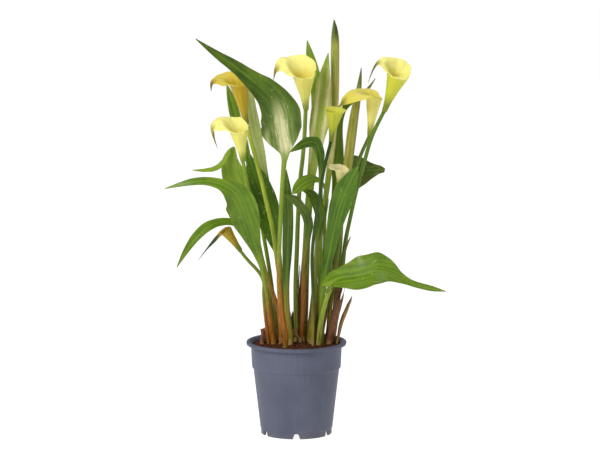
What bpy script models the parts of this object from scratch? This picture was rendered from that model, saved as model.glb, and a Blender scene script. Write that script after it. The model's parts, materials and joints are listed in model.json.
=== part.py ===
"""A calla lily in a nursery pot: flower shoots and leaves that rise from two tubers in the soil.

Metres, +Z up.  The origin is the centre of the pot's foot on the resting plane, and -Y is the front.
Heights in the plant tables are measured from the soil, in the plant's own millimetres.
"""

import math

import bmesh
import bpy
from mathutils import Matrix, Vector, noise

MM = 0.001

# Pot
POT_HEIGHT = 112.0 * MM
RIM_RADIUS = 60.0 * MM
RIM_HEIGHT = 4.2 * MM
MOUTH_RADIUS = 54.5 * MM
SHOULDER_RADIUS = 53.3 * MM
STEP_DEPTH = 1.7 * MM
STEP_LEVEL = 80.0 * MM
BASE_RADIUS = 43.2 * MM
WALL = 1.5 * MM
FLOOR = 1.6 * MM
FLOOR_CLEARANCE = 4.4 * MM
FOOT_RADIUS = 42.4 * MM
FOOT_HEIGHT = 6.4 * MM
FOOT_WIDTH = 2.4 * MM
PAD_RADIUS = 8.0 * MM
NOTCH_COUNT = 6
NOTCH_WIDTH = 9.0 * MM
NOTCH_TOP_WIDTH = 5.5 * MM
NOTCH_HEIGHT = 6.3 * MM
NOTCH_DEPTH = 9.0 * MM
POT_SEGMENTS = 36

# Soil and tubers
SOIL_BELOW_RIM = 5.0 * MM
SOIL_LUMP = 1.3 * MM
TUBER_RADIUS = 22.0 * MM
TUBER_HEIGHT = 22.0 * MM
TUBER_DEPTH = 24.0 * MM
TUBER_SPACING = 47.0 * MM
TUBER_SETBACK = 11.0 * MM
CLEARANCE = 0.3 * MM
WALL_CLEARANCE = 0.4 * MM

# Plant
PLANT_GROWTH = 1.0
STEM_GROWTH = 1.0
FLOWER_GROWTH = 1.0
BLADE_THICKNESS = 1.0 * MM
SPATHE_THICKNESS = 0.9 * MM
SPATHE_BASE_RADIUS = 2.0 * MM
BLEND_HEIGHT = 60.0
COLLAR = 9.0
ROOT_PULL = 0.72
ROOT_TAPER = 0.6
SOCKET_DEEPER = 0.25
LEAF_SIDES = 8
STEM_SIDES = 8
SPATHE_SIDES = 12

FRONT = (0.0, -1.0, 0.15)
DESIGN_SOIL_RADIUS = 52.6 * MM

# Leaves: (x, y, height, half width[, how far the edges sweep back]) from the soil to the tip,
# and the way the upper side looks at the petiole, along the blade and at the tip.
LEAVES = {
    "leaf_big_variegated": (
        [(-14, -18, 0, 3.2), (-18, -21, 40, 3), (-21, -28, 83, 2.6), (-19, -42, 145, 2.6),
         (-17, -52, 194, 2.6), (-14.5, -56, 226, 3), (-13.5, -57.5, 239, 5.5, 1), (-15.5, -60, 252, 12.5, 4),
         (-18.5, -64, 270, 22.5, 7), (-21, -69, 288, 25, 7), (-29, -73, 305, 20, 5), (-39, -76, 316, 15.5),
         (-52, -80, 327, 11.5), (-67, -85, 340, 8.5), (-88, -91, 355, 5.5), (-116, -101, 377, 0.5)],
        [FRONT, (0.1, -1.0, 0.2), (-0.1, -1.0, 0.7)],
    ),
    "leaf_pale_upright": (
        [(-15, 33, 0, 2.5), (-17, 40, 60, 2.5), (-25, 55, 137, 2.5), (-37, 63, 191, 4), (-47, 65, 237, 7),
         (-54, 67, 276, 6), (-57, 68, 298, 4), (-60, 70, 314, 0.5)],
        [FRONT, FRONT],
    ),
    "leaf_left_folded": (
        [(-28, 4, 0, 3), (-32, 0, 33, 2.8), (-35, -7, 62, 2.6), (-40, -18, 92, 2.6), (-47, -31, 119, 6),
         (-56, -47, 148, 13), (-64, -60, 174, 19), (-73, -69, 193, 14.5), (-91, -74, 205, 6),
         (-113, -74, 208, 5), (-134, -71, 204, 3), (-154, -66, 198, 0.5)],
        [FRONT, (0.1, -1.0, 0.1), (0.0, -1.0, 0.5)],
    ),
    "leaf_left_hooked": (
        [(-26, 18, 0, 2.5), (-32, 20, 51, 2.5), (-41, 21, 99, 2.5), (-51, 19, 142, 2.5), (-62, 13, 178, 7),
         (-71, 8, 195, 13), (-76, 5, 208, 14), (-78, 2, 221, 9.5), (-77, -2, 238, 3), (-83, -6, 229, 3),
         (-91, -9, 217, 3.2), (-104, -11, 213, 2.6), (-123, -14, 213, 0.5)],
        [FRONT, FRONT, (0.0, -1.0, 0.4)],
    ),
    "leaf_left_drooping": (
        [(-31, 26, 0, 2.5), (-33, 29, 38, 2.5), (-38, 32, 80, 2.5), (-50, 32, 114, 3), (-69, 27, 142, 4),
         (-91, 19, 146, 5), (-109, 11, 140, 6), (-127, 4, 121, 4.5), (-143, 0, 94, 0.5)],
        [FRONT, (0.0, -1.0, 0.5), (0.2, -1.0, 0.2)],
    ),
    "leaf_narrow_back_left": (
        [(-23, 26, 0, 2.4), (-29, 32, 61, 2.4), (-41, 45, 133, 2.4), (-53, 54, 192, 2.5), (-64, 58, 240, 5),
         (-74, 58, 271, 6.5), (-80, 58, 295, 4), (-84, 58, 308, 0.5)],
        [FRONT, FRONT],
    ),
    "leaf_speckled_back": (
        [(-17, 17, 0, 2.8), (-20, 23, 63, 2.6), (-25, 30, 108, 2.6), (-29, 33, 131, 9.5, 5),
         (-36, 36, 158, 15.5, 4), (-46, 38, 188, 14.5), (-54, 41, 212, 7), (-59, 41, 230, 0.5)],
        [FRONT, (0.2, -1.0, 0.1), FRONT],
    ),
    "leaf_arching_centre": (
        [(22, 16, 0, 2.8), (27, 18, 52, 2.6), (29, 19, 112, 2.5), (29, 17, 173, 2.5), (29, 9, 210, 3),
         (28, -5, 233, 5.5), (20, -14, 247, 7.5), (7, -22, 244, 5.5), (-8, -27, 236, 0.5)],
        [FRONT, FRONT, (0.0, -1.0, 0.7)],
    ),
    "leaf_small_centre": (
        [(27, 26, 0, 2.4), (30, 27, 50, 2.4), (34, 28, 111, 2.2), (34, 22, 154, 2.2), (35, 5, 187, 2.2),
         (26, -5, 200, 2.8), (14, -11, 200, 7.5), (3, -16, 193, 7.5), (-5, -19, 185, 0.5)],
        [FRONT, FRONT, (0.0, -1.0, 0.3)],
    ),
    "leaf_hooked_centre": (
        [(8, 14, 0, 3.6), (9, 13, 51, 3.6), (9, 12, 94, 3.4), (13, 7, 126, 3.8), (14, 2, 149, 6),
         (7, -7, 166, 5.5), (-4, -14, 179, 5), (-15, -19, 184, 0.5)],
        [FRONT, (0.3, -1.0, 0.2), (0.0, -1.0, 0.6)],
    ),
    "leaf_curled_centre": (
        [(18, 9, 0, 2.8), (22, 9, 53, 2.8), (23, 7, 96, 2.8), (26, 4, 133, 3.5), (28, 5, 157, 6.5),
         (23, 3, 174, 6.5), (15, 2, 184, 4.5), (8, 0, 186, 0.5)],
        [FRONT, (0.3, -1.0, 0.2), (0.0, -1.0, 0.6)],
    ),
    "leaf_broad_right": (
        [(30, 9, 0, 3.2), (29, 7, 41, 3.4), (34, 2, 84, 5.2), (40, -4, 115, 6.5), (46, -12, 147, 9.5),
         (52, -22, 172, 12.5), (60, -28, 194, 12), (67, -34, 210, 7), (73, -38, 221, 0.5)],
        [FRONT, (-0.2, -1.0, 0.1), FRONT],
    ),
    "leaf_back_right": (
        [(41.5, 26.5, 0, 2.4), (47, 37, 48, 2.4), (52, 52, 95, 2.4), (55, 67, 140, 2.4),
         (60, 71, 183, 2.8), (65, 75, 195, 12, 14), (75, 76, 199, 22, 10),
         (84, 76, 200, 17, 3), (94, 75, 201, 8), (101, 74, 202, 5.5),
         (107, 73, 201, 2.5)],
        [FRONT, FRONT, (0.0, -1.0, 0.4)],
    ),
    "leaf_low_right": (
        [(27, -1, 0, 3.2), (29, -4, 25, 3.1), (34, -9, 50, 3), (40, -15, 70, 3), (47, -22, 83, 7, 22),
         (61, -29, 87, 13, 16), (77, -34, 90, 22, 8), (96, -38, 96, 25, 2), (114, -39, 92, 13),
         (129, -40, 84, 5.5), (152, -41, 77, 5), (177, -43, 72, 0.5)],
        [FRONT, (0.1, -0.75, 0.75), (0.1, -0.7, 0.7)],
    ),
    "leaf_behind_top_flower": (
        [(3, 33, 0, 2.4), (7, 43, 72, 2.4), (13, 63, 166, 2.4), (19, 68, 239, 3), (23, 68, 282, 5),
         (23, 68, 312, 7), (17, 68, 338, 5.5), (13, 68, 360, 0.5)],
        [FRONT, FRONT],
    ),
    "leaf_tall_rolled": (
        [(16, 18, 0, 3), (20, 22, 51, 3), (28, 32, 123, 3), (38, 42, 194, 3.5), (44, 43, 254, 4.5),
         (46, 43, 303, 5), (46, 43, 350, 5), (46, 43, 372, 4), (45, 43, 387, 0.5)],
        [FRONT, FRONT],
    ),
    "leaf_upright_variegated": (
        [(12, 25, 0, 2.8), (12, 27, 52, 2.8), (14, 32, 123, 2.8), (19, 35, 195, 3.5), (23, 34, 231, 7),
         (27, 32, 261, 11.5), (31, 32, 291, 11.5), (34, 32, 322, 6.5), (38, 32, 348, 0.5)],
        [FRONT, FRONT],
    ),
    "leaf_rolled_right": (
        [(30, 33, 0, 3), (40, 38, 60, 3.2), (50, 46, 120, 3.5), (57, 50, 168, 5), (63, 52, 217, 6),
         (70, 52, 271, 5.5), (75, 54, 301, 3.5), (78, 54, 328, 0.5)],
        [FRONT, FRONT],
    ),
    "leaf_curled_strip": (
        [(17, 33, 0, 2.4), (28, 42, 59, 2.4), (40, 57, 131, 2.4), (48, 66, 184, 5), (50, 68, 215, 7.5),
         (51, 67, 239, 5.5), (53, 67, 262, 3.5), (59, 68, 279, 3.5), (73, 68, 290, 2.5), (84, 67, 299, 2),
         (95, 65, 314, 0.5)],
        [FRONT, FRONT, (0.0, -1.0, 0.5)],
    ),
    "leaf_dark_centre_left": (
        [(-8, 2, 0, 3.2), (-11, 2, 42, 3.4), (-12, 1, 79, 4), (-11, -1, 115, 6), (-10, -3, 152, 6.5),
         (-11, -7, 188, 5), (-12, -9, 213, 0.5)],
        [FRONT, (0.3, -1.0, 0.0)],
    ),
}

# The leaves that stay rolled into a spindle, as thick as they are wide.
ROLLED = ("leaf_tall_rolled", "leaf_rolled_right")

# Papery sheaths around the shoots, (x, y, height, half width).
SHEATHS = {
    "sheath_wide_right": [
        (39, 6, 0, 3.8), (45, 4, 29, 4.6), (51, 3, 54, 4.4), (55, 2, 74, 3.5), (57, 1, 88, 0.6),
    ],
    "sheath_thin_right": [(48, 10, 0, 1.5), (53, 10, 22, 2), (61, 11, 43, 2), (68, 11, 59, 0.5)],
    "sheath_dark_centre": [(4, 21, 0, 1.8), (4, 23, 38, 2), (4, 28, 74, 1.8), (4, 31, 96, 0.5)],
    "sheath_flap_centre": [(-5, 27, 0, 2.5), (-5, 27, 19, 3), (-5, 28, 35, 3), (-3, 29, 41, 2)],
}

# Old leaf bases, cut off short.
STUBS = {
    "stub_left": [(-33, 17, 0, 2.8), (-35, 17, 11, 2.9), (-37, 17, 18, 2.9)],
    "stub_far_left": [(-39, 7, 0, 2.4), (-40, 7, 11, 2.5), (-41, 7, 18, 2.5)],
    "stub_centre": [(-1, 9, 0, 2.4), (-1, 9, 10, 2.7), (-1, 9, 18, 2.5)],
}

# The bract that stands off the top right shoot.
BRACT = [(58, 6, 112, 1.2), (61, 5, 122, 1.3), (65, 3, 131, 0.4)]

# Flower shoots: the stem's line, then the spathe's mouth centre, mouth radius and cusp direction, how
# many degrees from the cusp the limb is longest, the limb's longest and shortest reach, the cusp's
# tail, and how far the cusp folds over in degrees.
FLOWERS = {
    "upper_left": {
        "stem": [(-12, 10, 0, 2.9), (-17, 11, 53, 2.8), (-22, 10, 92, 2.7), (-28, 9, 136, 2.6),
                 (-36, 10, 173, 2.5), (-48, 14, 221, 2.4), (-60, 22, 263, 2.3)],
        "mouth": (-68, 11, 311), "radius": 11.0, "cusp": (-1.0, -0.1, 0.1), "skew": -25,
        "limb": (22, 4), "tail": 8, "fold": 88,
    },
    "left": {
        "stem": [(-19, 5, 0, 2.8), (-23, 5, 47, 2.6), (-32, 2, 72, 2.5), (-40, -5, 101, 2.5),
                 (-49, -19, 148, 2.4), (-57, -31, 192, 2.3), (-63, -40, 227, 2.2)],
        "mouth": (-68, -50, 263), "radius": 10.5, "cusp": (-1.0, 0.1, 0.0), "skew": -30,
        "limb": (24, 2), "tail": 8, "fold": 105,
    },
    "top_centre": {
        "stem": [(-2, 17, 0, 2.9), (-1, 18, 52, 2.8), (1, 22, 124, 2.7), (4, 24, 190, 2.6),
                 (9, 23, 239, 2.5), (11, 22, 281, 2.4)],
        "mouth": (8, 2, 325), "radius": 13.5, "cusp": (-1.0, 0.1, 0.0), "skew": -55,
        "limb": (23, 2), "tail": 9, "fold": 100,
    },
    "cup": {
        "stem": [(20, -1, 0, 2), (20, -2, 55, 2), (19, -7, 116, 2), (26, -13, 171, 2), (34, -16, 220, 2),
                 (41, -11, 247, 2)],
        "mouth": (45, -11, 281), "radius": 10.0, "cusp": (0.2, 1.0, 0.0), "skew": 0,
        "limb": (11, 1), "tail": 4, "fold": 80,
    },
    "back_right": {
        "stem": [(36, 16, 0, 2.5), (42, 20, 51, 2.4), (48, 25, 96, 2.4), (53, 30, 134, 2.3),
                 (63, 32, 177, 2.2), (74, 31, 217, 2.2), (87, 23, 249, 2.1)],
        "mouth": (92, 20, 295), "radius": 9.5, "cusp": (-1.0, -0.2, 0.0), "skew": -10,
        "limb": (34, 1), "tail": 6, "fold": 150,
    },
    "top_right": {
        "stem": [(43, 19, 0, 2.8), (50, 17, 52, 2.7), (55, 14, 89, 2.6), (59, 12, 125, 2.5),
                 (65, 10, 155, 2.4), (72, 9, 187, 2.4), (81, 7, 220, 2.3), (90, 5, 251, 2.3),
                 (104, 4, 281, 2.2)],
        "mouth": (119, -11, 325), "radius": 12.0, "cusp": (-1.0, 0.2, 0.1), "skew": -70,
        "limb": (17, 4), "tail": 13, "fold": 95,
    },
    "small_right": {
        "stem": [(36, 25, 0, 1.8), (40, 30, 61, 1.8), (42, 31, 117, 1.7), (40, 22, 146, 1.7),
                 (41, 7, 169, 1.6), (46, -5, 187, 1.6), (50, -11, 198, 1.5)],
        "mouth": (53, -16, 212), "radius": 7.0, "cusp": (-1.0, 0.0, 0.2), "skew": -40,
        "limb": (10, 3), "tail": 4, "fold": 90,
    },
    "low_left_bud": {
        "stem": [(-33, 9, 0, 2.4), (-39, 7, 53, 2.3), (-41, 2, 82, 2.2), (-49, 0, 93, 2.1),
                 (-58, -3, 103, 2), (-67, -6, 115, 2)],
        "mouth": (-84, -12, 140), "radius": 6.5, "cusp": (-1.0, 0.0, -0.6), "skew": 0,
        "limb": (4, 1), "tail": 40, "fold": 108,
    },
}

# Colour, roughness
SLATE = ((0.135, 0.155, 0.205), 0.42)
PEAT = ((0.085, 0.035, 0.018), 0.95)
CORM = ((0.20, 0.11, 0.05), 0.85)
LEAF_GREEN = ((0.075, 0.19, 0.022), 0.42)
STEM_GREEN = ((0.19, 0.33, 0.03), 0.40)
SHEATH_BROWN = ((0.23, 0.13, 0.03), 0.70)
LEMON = ((0.83, 0.71, 0.13), 0.48)
CREAM = ((0.80, 0.72, 0.28), 0.50)
OCHRE = ((0.52, 0.37, 0.05), 0.50)
GOLD = ((0.80, 0.50, 0.03), 0.70)
SPATHE_COLOURS = {"small_right": CREAM, "low_left_bud": OCHRE}


def clear_scene():
    for thing in list(bpy.data.objects):
        bpy.data.objects.remove(thing, do_unlink=True)


def material(name, look):
    colour, roughness = look
    made = bpy.data.materials.new(name)
    made.use_nodes = True
    shader = made.node_tree.nodes["Principled BSDF"]
    shader.inputs["Base Color"].default_value = (*colour, 1.0)
    shader.inputs["Roughness"].default_value = roughness
    shader.inputs["Metallic"].default_value = 0.0
    return made


def closed_loft(name, rings, look=None):
    """A closed body through rings of equally many points, with a flat cap at each end."""
    mesh = bmesh.new()
    loops = [[mesh.verts.new(point) for point in ring] for ring in rings]
    count = len(rings[0])
    for lower, upper in zip(loops, loops[1:]):
        for i in range(count):
            j = (i + 1) % count
            mesh.faces.new((lower[i], lower[j], upper[j], upper[i]))
    mesh.faces.new(loops[0][::-1])
    mesh.faces.new(loops[-1])
    bmesh.ops.triangulate(mesh, faces=mesh.faces)
    if mesh.calc_volume(signed=True) < 0:
        bmesh.ops.reverse_faces(mesh, faces=mesh.faces)
    data = bpy.data.meshes.new(name)
    mesh.to_mesh(data)
    mesh.free()
    data.shade_smooth()
    data.set_sharp_from_angle(angle=math.radians(40))
    body = bpy.data.objects.new(name, data)
    bpy.context.scene.collection.objects.link(body)
    if look:
        data.materials.append(material(name, look))
    return body


def circle(radius, height, sides, turn=0.0):
    angles = [turn + math.tau * i / sides for i in range(sides)]
    return [Vector((radius * math.cos(a), radius * math.sin(a), height)) for a in angles]


def as_cutter(body, collection):
    body.hide_render = True
    body.display_type = "WIRE"
    bpy.context.scene.collection.objects.unlink(body)
    collection.objects.link(body)


def cut_with(body, collection):
    cut = body.modifiers.new("cut", "BOOLEAN")
    cut.operation = "DIFFERENCE"
    cut.operand_type = "COLLECTION"
    cut.collection = collection
    cut.solver = "EXACT"


# ---------------------------------------------------------------- pot

FLOOR_TOP = FLOOR_CLEARANCE + FLOOR
SOIL_LEVEL = POT_HEIGHT - SOIL_BELOW_RIM
RIM_UNDERSIDE = POT_HEIGHT - RIM_HEIGHT
STEP_LOWER_RADIUS = SHOULDER_RADIUS - STEP_DEPTH


def inner_wall():
    """The inside of the wall from the floor up, as (radius, height)."""
    return [
        (BASE_RADIUS - WALL - 0.6 * MM, FLOOR_TOP),
        (BASE_RADIUS - WALL + 0.6 * MM, FLOOR_TOP + 2.0 * MM),
        (STEP_LOWER_RADIUS - WALL, STEP_LEVEL - 0.4 * MM),
        (SHOULDER_RADIUS - WALL, STEP_LEVEL + 1.6 * MM),
        (MOUTH_RADIUS - WALL, RIM_UNDERSIDE),
        (MOUTH_RADIUS + 0.6 * MM, POT_HEIGHT - 1.0 * MM),
    ]


def inner_radius(height):
    wall = inner_wall()
    for (r0, z0), (r1, z1) in zip(wall, wall[1:]):
        if height <= z1:
            return r0 + (r1 - r0) * (height - z0) / (z1 - z0)
    return wall[-1][0]


def pot():
    foot_inside = FOOT_RADIUS - FOOT_WIDTH
    lip = RIM_HEIGHT / 4
    profile = [
        (PAD_RADIUS, 0.0),
        (PAD_RADIUS + 0.3 * MM, FLOOR_CLEARANCE),
        (foot_inside - 0.3 * MM, FLOOR_CLEARANCE),
        (foot_inside, 0.0),
        (FOOT_RADIUS, 0.0),
        (FOOT_RADIUS, FOOT_HEIGHT),
        (BASE_RADIUS, FOOT_HEIGHT + 0.7 * MM),
        (STEP_LOWER_RADIUS, STEP_LEVEL - 0.6 * MM),
        (SHOULDER_RADIUS, STEP_LEVEL + 0.6 * MM),
        (MOUTH_RADIUS, RIM_UNDERSIDE - 0.6 * MM),
        (RIM_RADIUS - lip, RIM_UNDERSIDE),
        (RIM_RADIUS, RIM_UNDERSIDE + lip),
        (RIM_RADIUS, POT_HEIGHT - lip),
        (RIM_RADIUS - lip, POT_HEIGHT),
        (MOUTH_RADIUS + 1.8 * MM, POT_HEIGHT),
        *reversed(inner_wall()),
    ]
    body = closed_loft("pot", [circle(r, z, POT_SEGMENTS) for r, z in profile], SLATE)
    notches = bpy.data.collections.new("notches")
    bpy.context.scene.collection.children.link(notches)
    half = NOTCH_WIDTH / 2
    top = NOTCH_TOP_WIDTH / 2
    corner = NOTCH_TOP_WIDTH / 4
    outline = [
        (-half - 0.4 * MM, -1.0 * MM), (half + 0.4 * MM, -1.0 * MM), (top, NOTCH_HEIGHT - corner),
        (top - corner, NOTCH_HEIGHT), (-top + corner, NOTCH_HEIGHT), (-top, NOTCH_HEIGHT - corner),
    ]
    for i in range(NOTCH_COUNT):
        turn = Matrix.Rotation(math.tau * i / NOTCH_COUNT - math.pi / 2, 3, "Z")
        rings = [
            [turn @ Vector((reach, across, up)) for across, up in outline]
            for reach in (FOOT_RADIUS - NOTCH_DEPTH, FOOT_RADIUS + 4.0 * MM)
        ]
        as_cutter(closed_loft(f"notch_{i + 1}", rings), notches)
    cut_with(body, notches)
    return body


# ---------------------------------------------------------------- how the plant is placed


def ease(value):
    value = min(max(value, 0.0), 1.0)
    return value * value * (3.0 - 2.0 * value)


def place(x, y, height):
    """A point of the plant: near the soil it follows the pot's mouth, and above it its own growth."""
    pot_share = (inner_radius(SOIL_LEVEL) - CLEARANCE) / DESIGN_SOIL_RADIUS
    above = max(height, 0.0)
    spread = pot_share + (PLANT_GROWTH - pot_share) * ease(above / BLEND_HEIGHT)
    return Vector((x * MM * spread, y * MM * spread, SOIL_LEVEL + height * MM * PLANT_GROWTH))


def tuber_centres():
    half = TUBER_SPACING / 2
    middle = SOIL_LEVEL - TUBER_DEPTH - TUBER_HEIGHT / 2
    return [Vector((side * half, TUBER_SETBACK, middle)) for side in (-1, 1)]


def root_point(surface):
    """Where a shoot starts on the nearest tuber, below the point where it leaves the soil."""
    centre = min(tuber_centres(), key=lambda c: (c - surface).xy.length)
    offset = (surface - centre).xy * ROOT_PULL
    reach = TUBER_RADIUS - 3.0 * MM
    if offset.length > reach:
        offset *= reach / offset.length
    top = centre.z + TUBER_HEIGHT / 2 + CLEARANCE
    return Vector((centre.x + offset.x, centre.y + offset.y, top))


def smooth(points, samples):
    """`samples` points spread evenly along a smooth curve through the given ones."""
    chords = [max((b.xyz - a.xyz).length, 1e-6) for a, b in zip(points, points[1:])]
    slopes = []
    for i in range(len(points)):
        if i == 0:
            slopes.append((points[1] - points[0]) / chords[0])
        elif i == len(points) - 1:
            slopes.append((points[-1] - points[-2]) / chords[-1])
        else:
            before = (points[i] - points[i - 1]) / chords[i - 1]
            after = (points[i + 1] - points[i]) / chords[i]
            slopes.append((before * chords[i] + after * chords[i - 1]) / (chords[i - 1] + chords[i]))
    made = []
    for k in range(samples):
        along = (len(points) - 1) * k / (samples - 1)
        i = min(int(along), len(points) - 2)
        t = along - i
        made.append(
            points[i] * (2 * t**3 - 3 * t**2 + 1)
            + slopes[i] * chords[i] * (t**3 - 2 * t**2 + t)
            + points[i + 1] * (3 * t**2 - 2 * t**3)
            + slopes[i + 1] * chords[i] * (t**3 - t**2)
        )
    return made


def spread_evenly(values, share):
    """The value at a share of the way through a list of vectors."""
    along = (len(values) - 1) * share
    i = min(int(along), len(values) - 2)
    return values[i].lerp(values[i + 1], along - i)


def shoot_rings(stations, sides, rings, facings, rooted=True, flat=True, fold=0.22):
    """Rings of a stem, petiole or blade; a blade is flat and bent up along its edges."""
    full = [(*s, 0.0) if len(s) == 4 else s for s in stations]
    points = [Vector((*place(x, y, z), hw * MM * STEM_GROWTH, back * MM)) for x, y, z, hw, back in full]
    start = []
    if rooted:
        surface = points[0]
        root = surface.copy()
        root[0], root[1], root[2] = root_point(surface.xyz)
        rise = surface - root
        points[0] = surface + rise * (COLLAR * MM / rise.xyz.length)
        root[3] = surface[3] * ROOT_TAPER
        points[0][3] = surface[3]
        start = [root]
    samples = start + smooth(points, rings)
    centres = [s.xyz for s in samples]
    widths = [max(s[3], 0.35 * MM) for s in samples]
    widest = widths.index(max(widths[2:]))
    petiole = min(widths[1:widest + 1]) if rooted else widths[0]
    looks = [Vector(f) for f in facings]
    made = []
    for i, (centre, sample) in enumerate(zip(centres, samples)):
        ahead = centres[min(i + 1, len(centres) - 1)] - centres[max(i - 1, 0)]
        tangent = ahead.normalized()
        if rooted and i < 2:
            tangent = (centres[1] - centres[0]).normalized()
        look = spread_evenly(looks, i / (len(centres) - 1))
        side = tangent.cross(look).normalized()
        normal = side.cross(tangent).normalized()
        width = widths[i]
        thick = width
        bend = 0.0
        if flat:
            thick = max(petiole * petiole / width, BLADE_THICKNESS / 2)
            if i > widest:
                thick = min(BLADE_THICKNESS / 2, width)
            thick = min(thick, width)
            bend = fold * max(width - petiole, 0.0)
        ring = []
        for k in range(sides):
            angle = math.tau * k / sides
            across = math.cos(angle)
            out = abs(across) ** 1.5
            ring.append(
                centre
                + side * width * across
                + normal * (thick * math.sin(angle) + bend * out)
                - tangent * sample[4] * out
            )
        made.append(ring)
    return made


def socket_rings(rings):
    """The hole around a shoot: its lowest rings with clearance, opened into the tuber's hollow."""
    grown = []
    for ring in rings[:2]:
        centre = sum(ring, Vector()) / len(ring)
        grown.append([p + (p - centre).normalized() * CLEARANCE for p in ring])
    root, collar = grown
    deeper = [low + (low - high) * SOCKET_DEEPER for low, high in zip(root, collar)]
    return [deeper, collar]


def add_rooted(name, rings, look, sockets):
    closed_loft(name, rings, look)
    as_cutter(closed_loft(f"socket_{name}", socket_rings(rings)), sockets)


# ---------------------------------------------------------------- flowers


def spathe(name, base, flower, look):
    """A funnel that opens into a limb, long and folded over at the cusp and short opposite it."""
    mouth = place(*flower["mouth"])
    axis = (mouth - base).normalized()
    length = (mouth - base).length
    cusp = Vector(flower["cusp"])
    cusp = (cusp - axis * cusp.dot(axis)).normalized()
    across = axis.cross(cusp)
    stem_radius = flower["stem"][-1][3] * MM * STEM_GROWTH
    narrow = max(stem_radius, SPATHE_BASE_RADIUS)
    wide = flower["radius"] * MM * FLOWER_GROWTH
    long_limb, short_limb = (value * MM * FLOWER_GROWTH for value in flower["limb"])
    tail = flower["tail"] * MM * FLOWER_GROWTH
    skew = math.radians(flower["skew"])
    opening = math.atan2(1.5 * (wide - narrow), length)
    outer = []
    inner = []
    funnel_steps = 4
    limb_steps = 3
    for step in range(funnel_steps + limb_steps + 1):
        outer_ring = []
        inner_ring = []
        for k in range(SPATHE_SIDES):
            angle = math.tau * k / SPATHE_SIDES
            toward = (1.0 + math.cos(angle)) / 2
            share = min(step / funnel_steps, 1.0)
            radius = narrow + (wide - narrow) * share**1.5
            height = length * share
            lean = opening * share
            beyond = step - funnel_steps
            if beyond > 0:
                spread = (1.0 + math.cos(angle - skew)) / 2
                limb = short_limb + (long_limb - short_limb) * spread**1.5
                last = opening + (math.radians(flower["fold"]) - opening) * toward
                for part in range(beyond):
                    lean = opening + (last - opening) * (part + 1) / limb_steps
                    radius += limb / limb_steps * math.sin(lean)
                    height += limb / limb_steps * math.cos(lean)
                if beyond == limb_steps:
                    radius += tail * toward**30 * math.sin(last)
                    height += tail * toward**30 * math.cos(last)
            direction = cusp * math.cos(angle) + across * math.sin(angle)
            outer_ring.append(base + direction * radius + axis * height)
            inside = radius - SPATHE_THICKNESS * math.cos(lean)
            lift = height + SPATHE_THICKNESS * math.sin(lean)
            inner_ring.append(base + direction * inside + axis * lift)
        outer.append(outer_ring)
        inner.append(inner_ring)
    closed_loft(f"spathe_{name}", outer + inner[:0:-1], look)
    floor = length / funnel_steps
    return axis, floor, length, narrow - SPATHE_THICKNESS


def spadix(name, base, axis, floor, length, room):
    """The finger in the middle of the funnel, standing just clear of its floor."""
    side = axis.orthogonal().normalized()
    other = axis.cross(side)
    thick = room - CLEARANCE
    shape = [(0.0, 0.75), (0.15, 1.0), (0.5, 1.25), (0.85, 1.1), (0.97, 0.6), (1.0, 0.2)]
    reach = length * 0.86 - floor - CLEARANCE
    rings = []
    for share, size in shape:
        centre = base + axis * (floor + CLEARANCE + reach * share)
        ring = circle(thick * size, 0.0, STEM_SIDES)
        rings.append([centre + side * p.x + other * p.y for p in ring])
    closed_loft(f"spadix_{name}", rings, GOLD)


# ---------------------------------------------------------------- soil and tubers


def tuber_rings(centre, grow, seed):
    """A flattened, knobbly corm, larger all round by `grow`."""
    rings = []
    steps = 6
    for j in range(steps + 1):
        rise = -0.94 + 1.88 * j / steps
        level = rise * (TUBER_HEIGHT / 2 + grow)
        waist = (1.0 - rise**4) ** 0.5
        ring = []
        for point in circle(1.0, 0.0, 14):
            knob = 1.0 - 0.06 * (1.0 + noise.noise(Vector((point.x * 2.2, point.y * 2.2, rise + seed))))
            radius = TUBER_RADIUS * waist * knob + grow
            ring.append(centre + Vector((point.x * radius, point.y * radius, level)))
        rings.append(ring)
    return rings


def soil(sockets):
    """Peat that fills the pot, lumpy on top, with a hole for every shoot and a hollow for each tuber."""
    segments = 24
    wall = [(r, z) for r, z in inner_wall() if z < SOIL_LEVEL - 2.0 * MM]
    edge = SOIL_LEVEL - 1.5 * MM
    wall.append((inner_radius(edge), edge))
    wall[0] = (wall[0][0], wall[0][1] + CLEARANCE)
    rings = [circle(r - WALL_CLEARANCE, z, segments) for r, z in wall]
    outside = inner_radius(edge) - WALL_CLEARANCE
    for share in (0.9, 0.62, 0.34, 0.1):
        ring = circle(outside * share, SOIL_LEVEL, segments)
        for point in ring:
            point.z += SOIL_LUMP * noise.noise(point * 120.0)
        rings.append(ring)
    body = closed_loft("soil", rings, PEAT)
    cut_with(body, sockets)
    for i, centre in enumerate(tuber_centres()):
        side = ("left", "right")[i]
        closed_loft(f"tuber_{side}", tuber_rings(centre, 0.0, i * 5.0), CORM)
        as_cutter(closed_loft(f"hollow_{side}", tuber_rings(centre, CLEARANCE, i * 5.0)), sockets)


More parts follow.
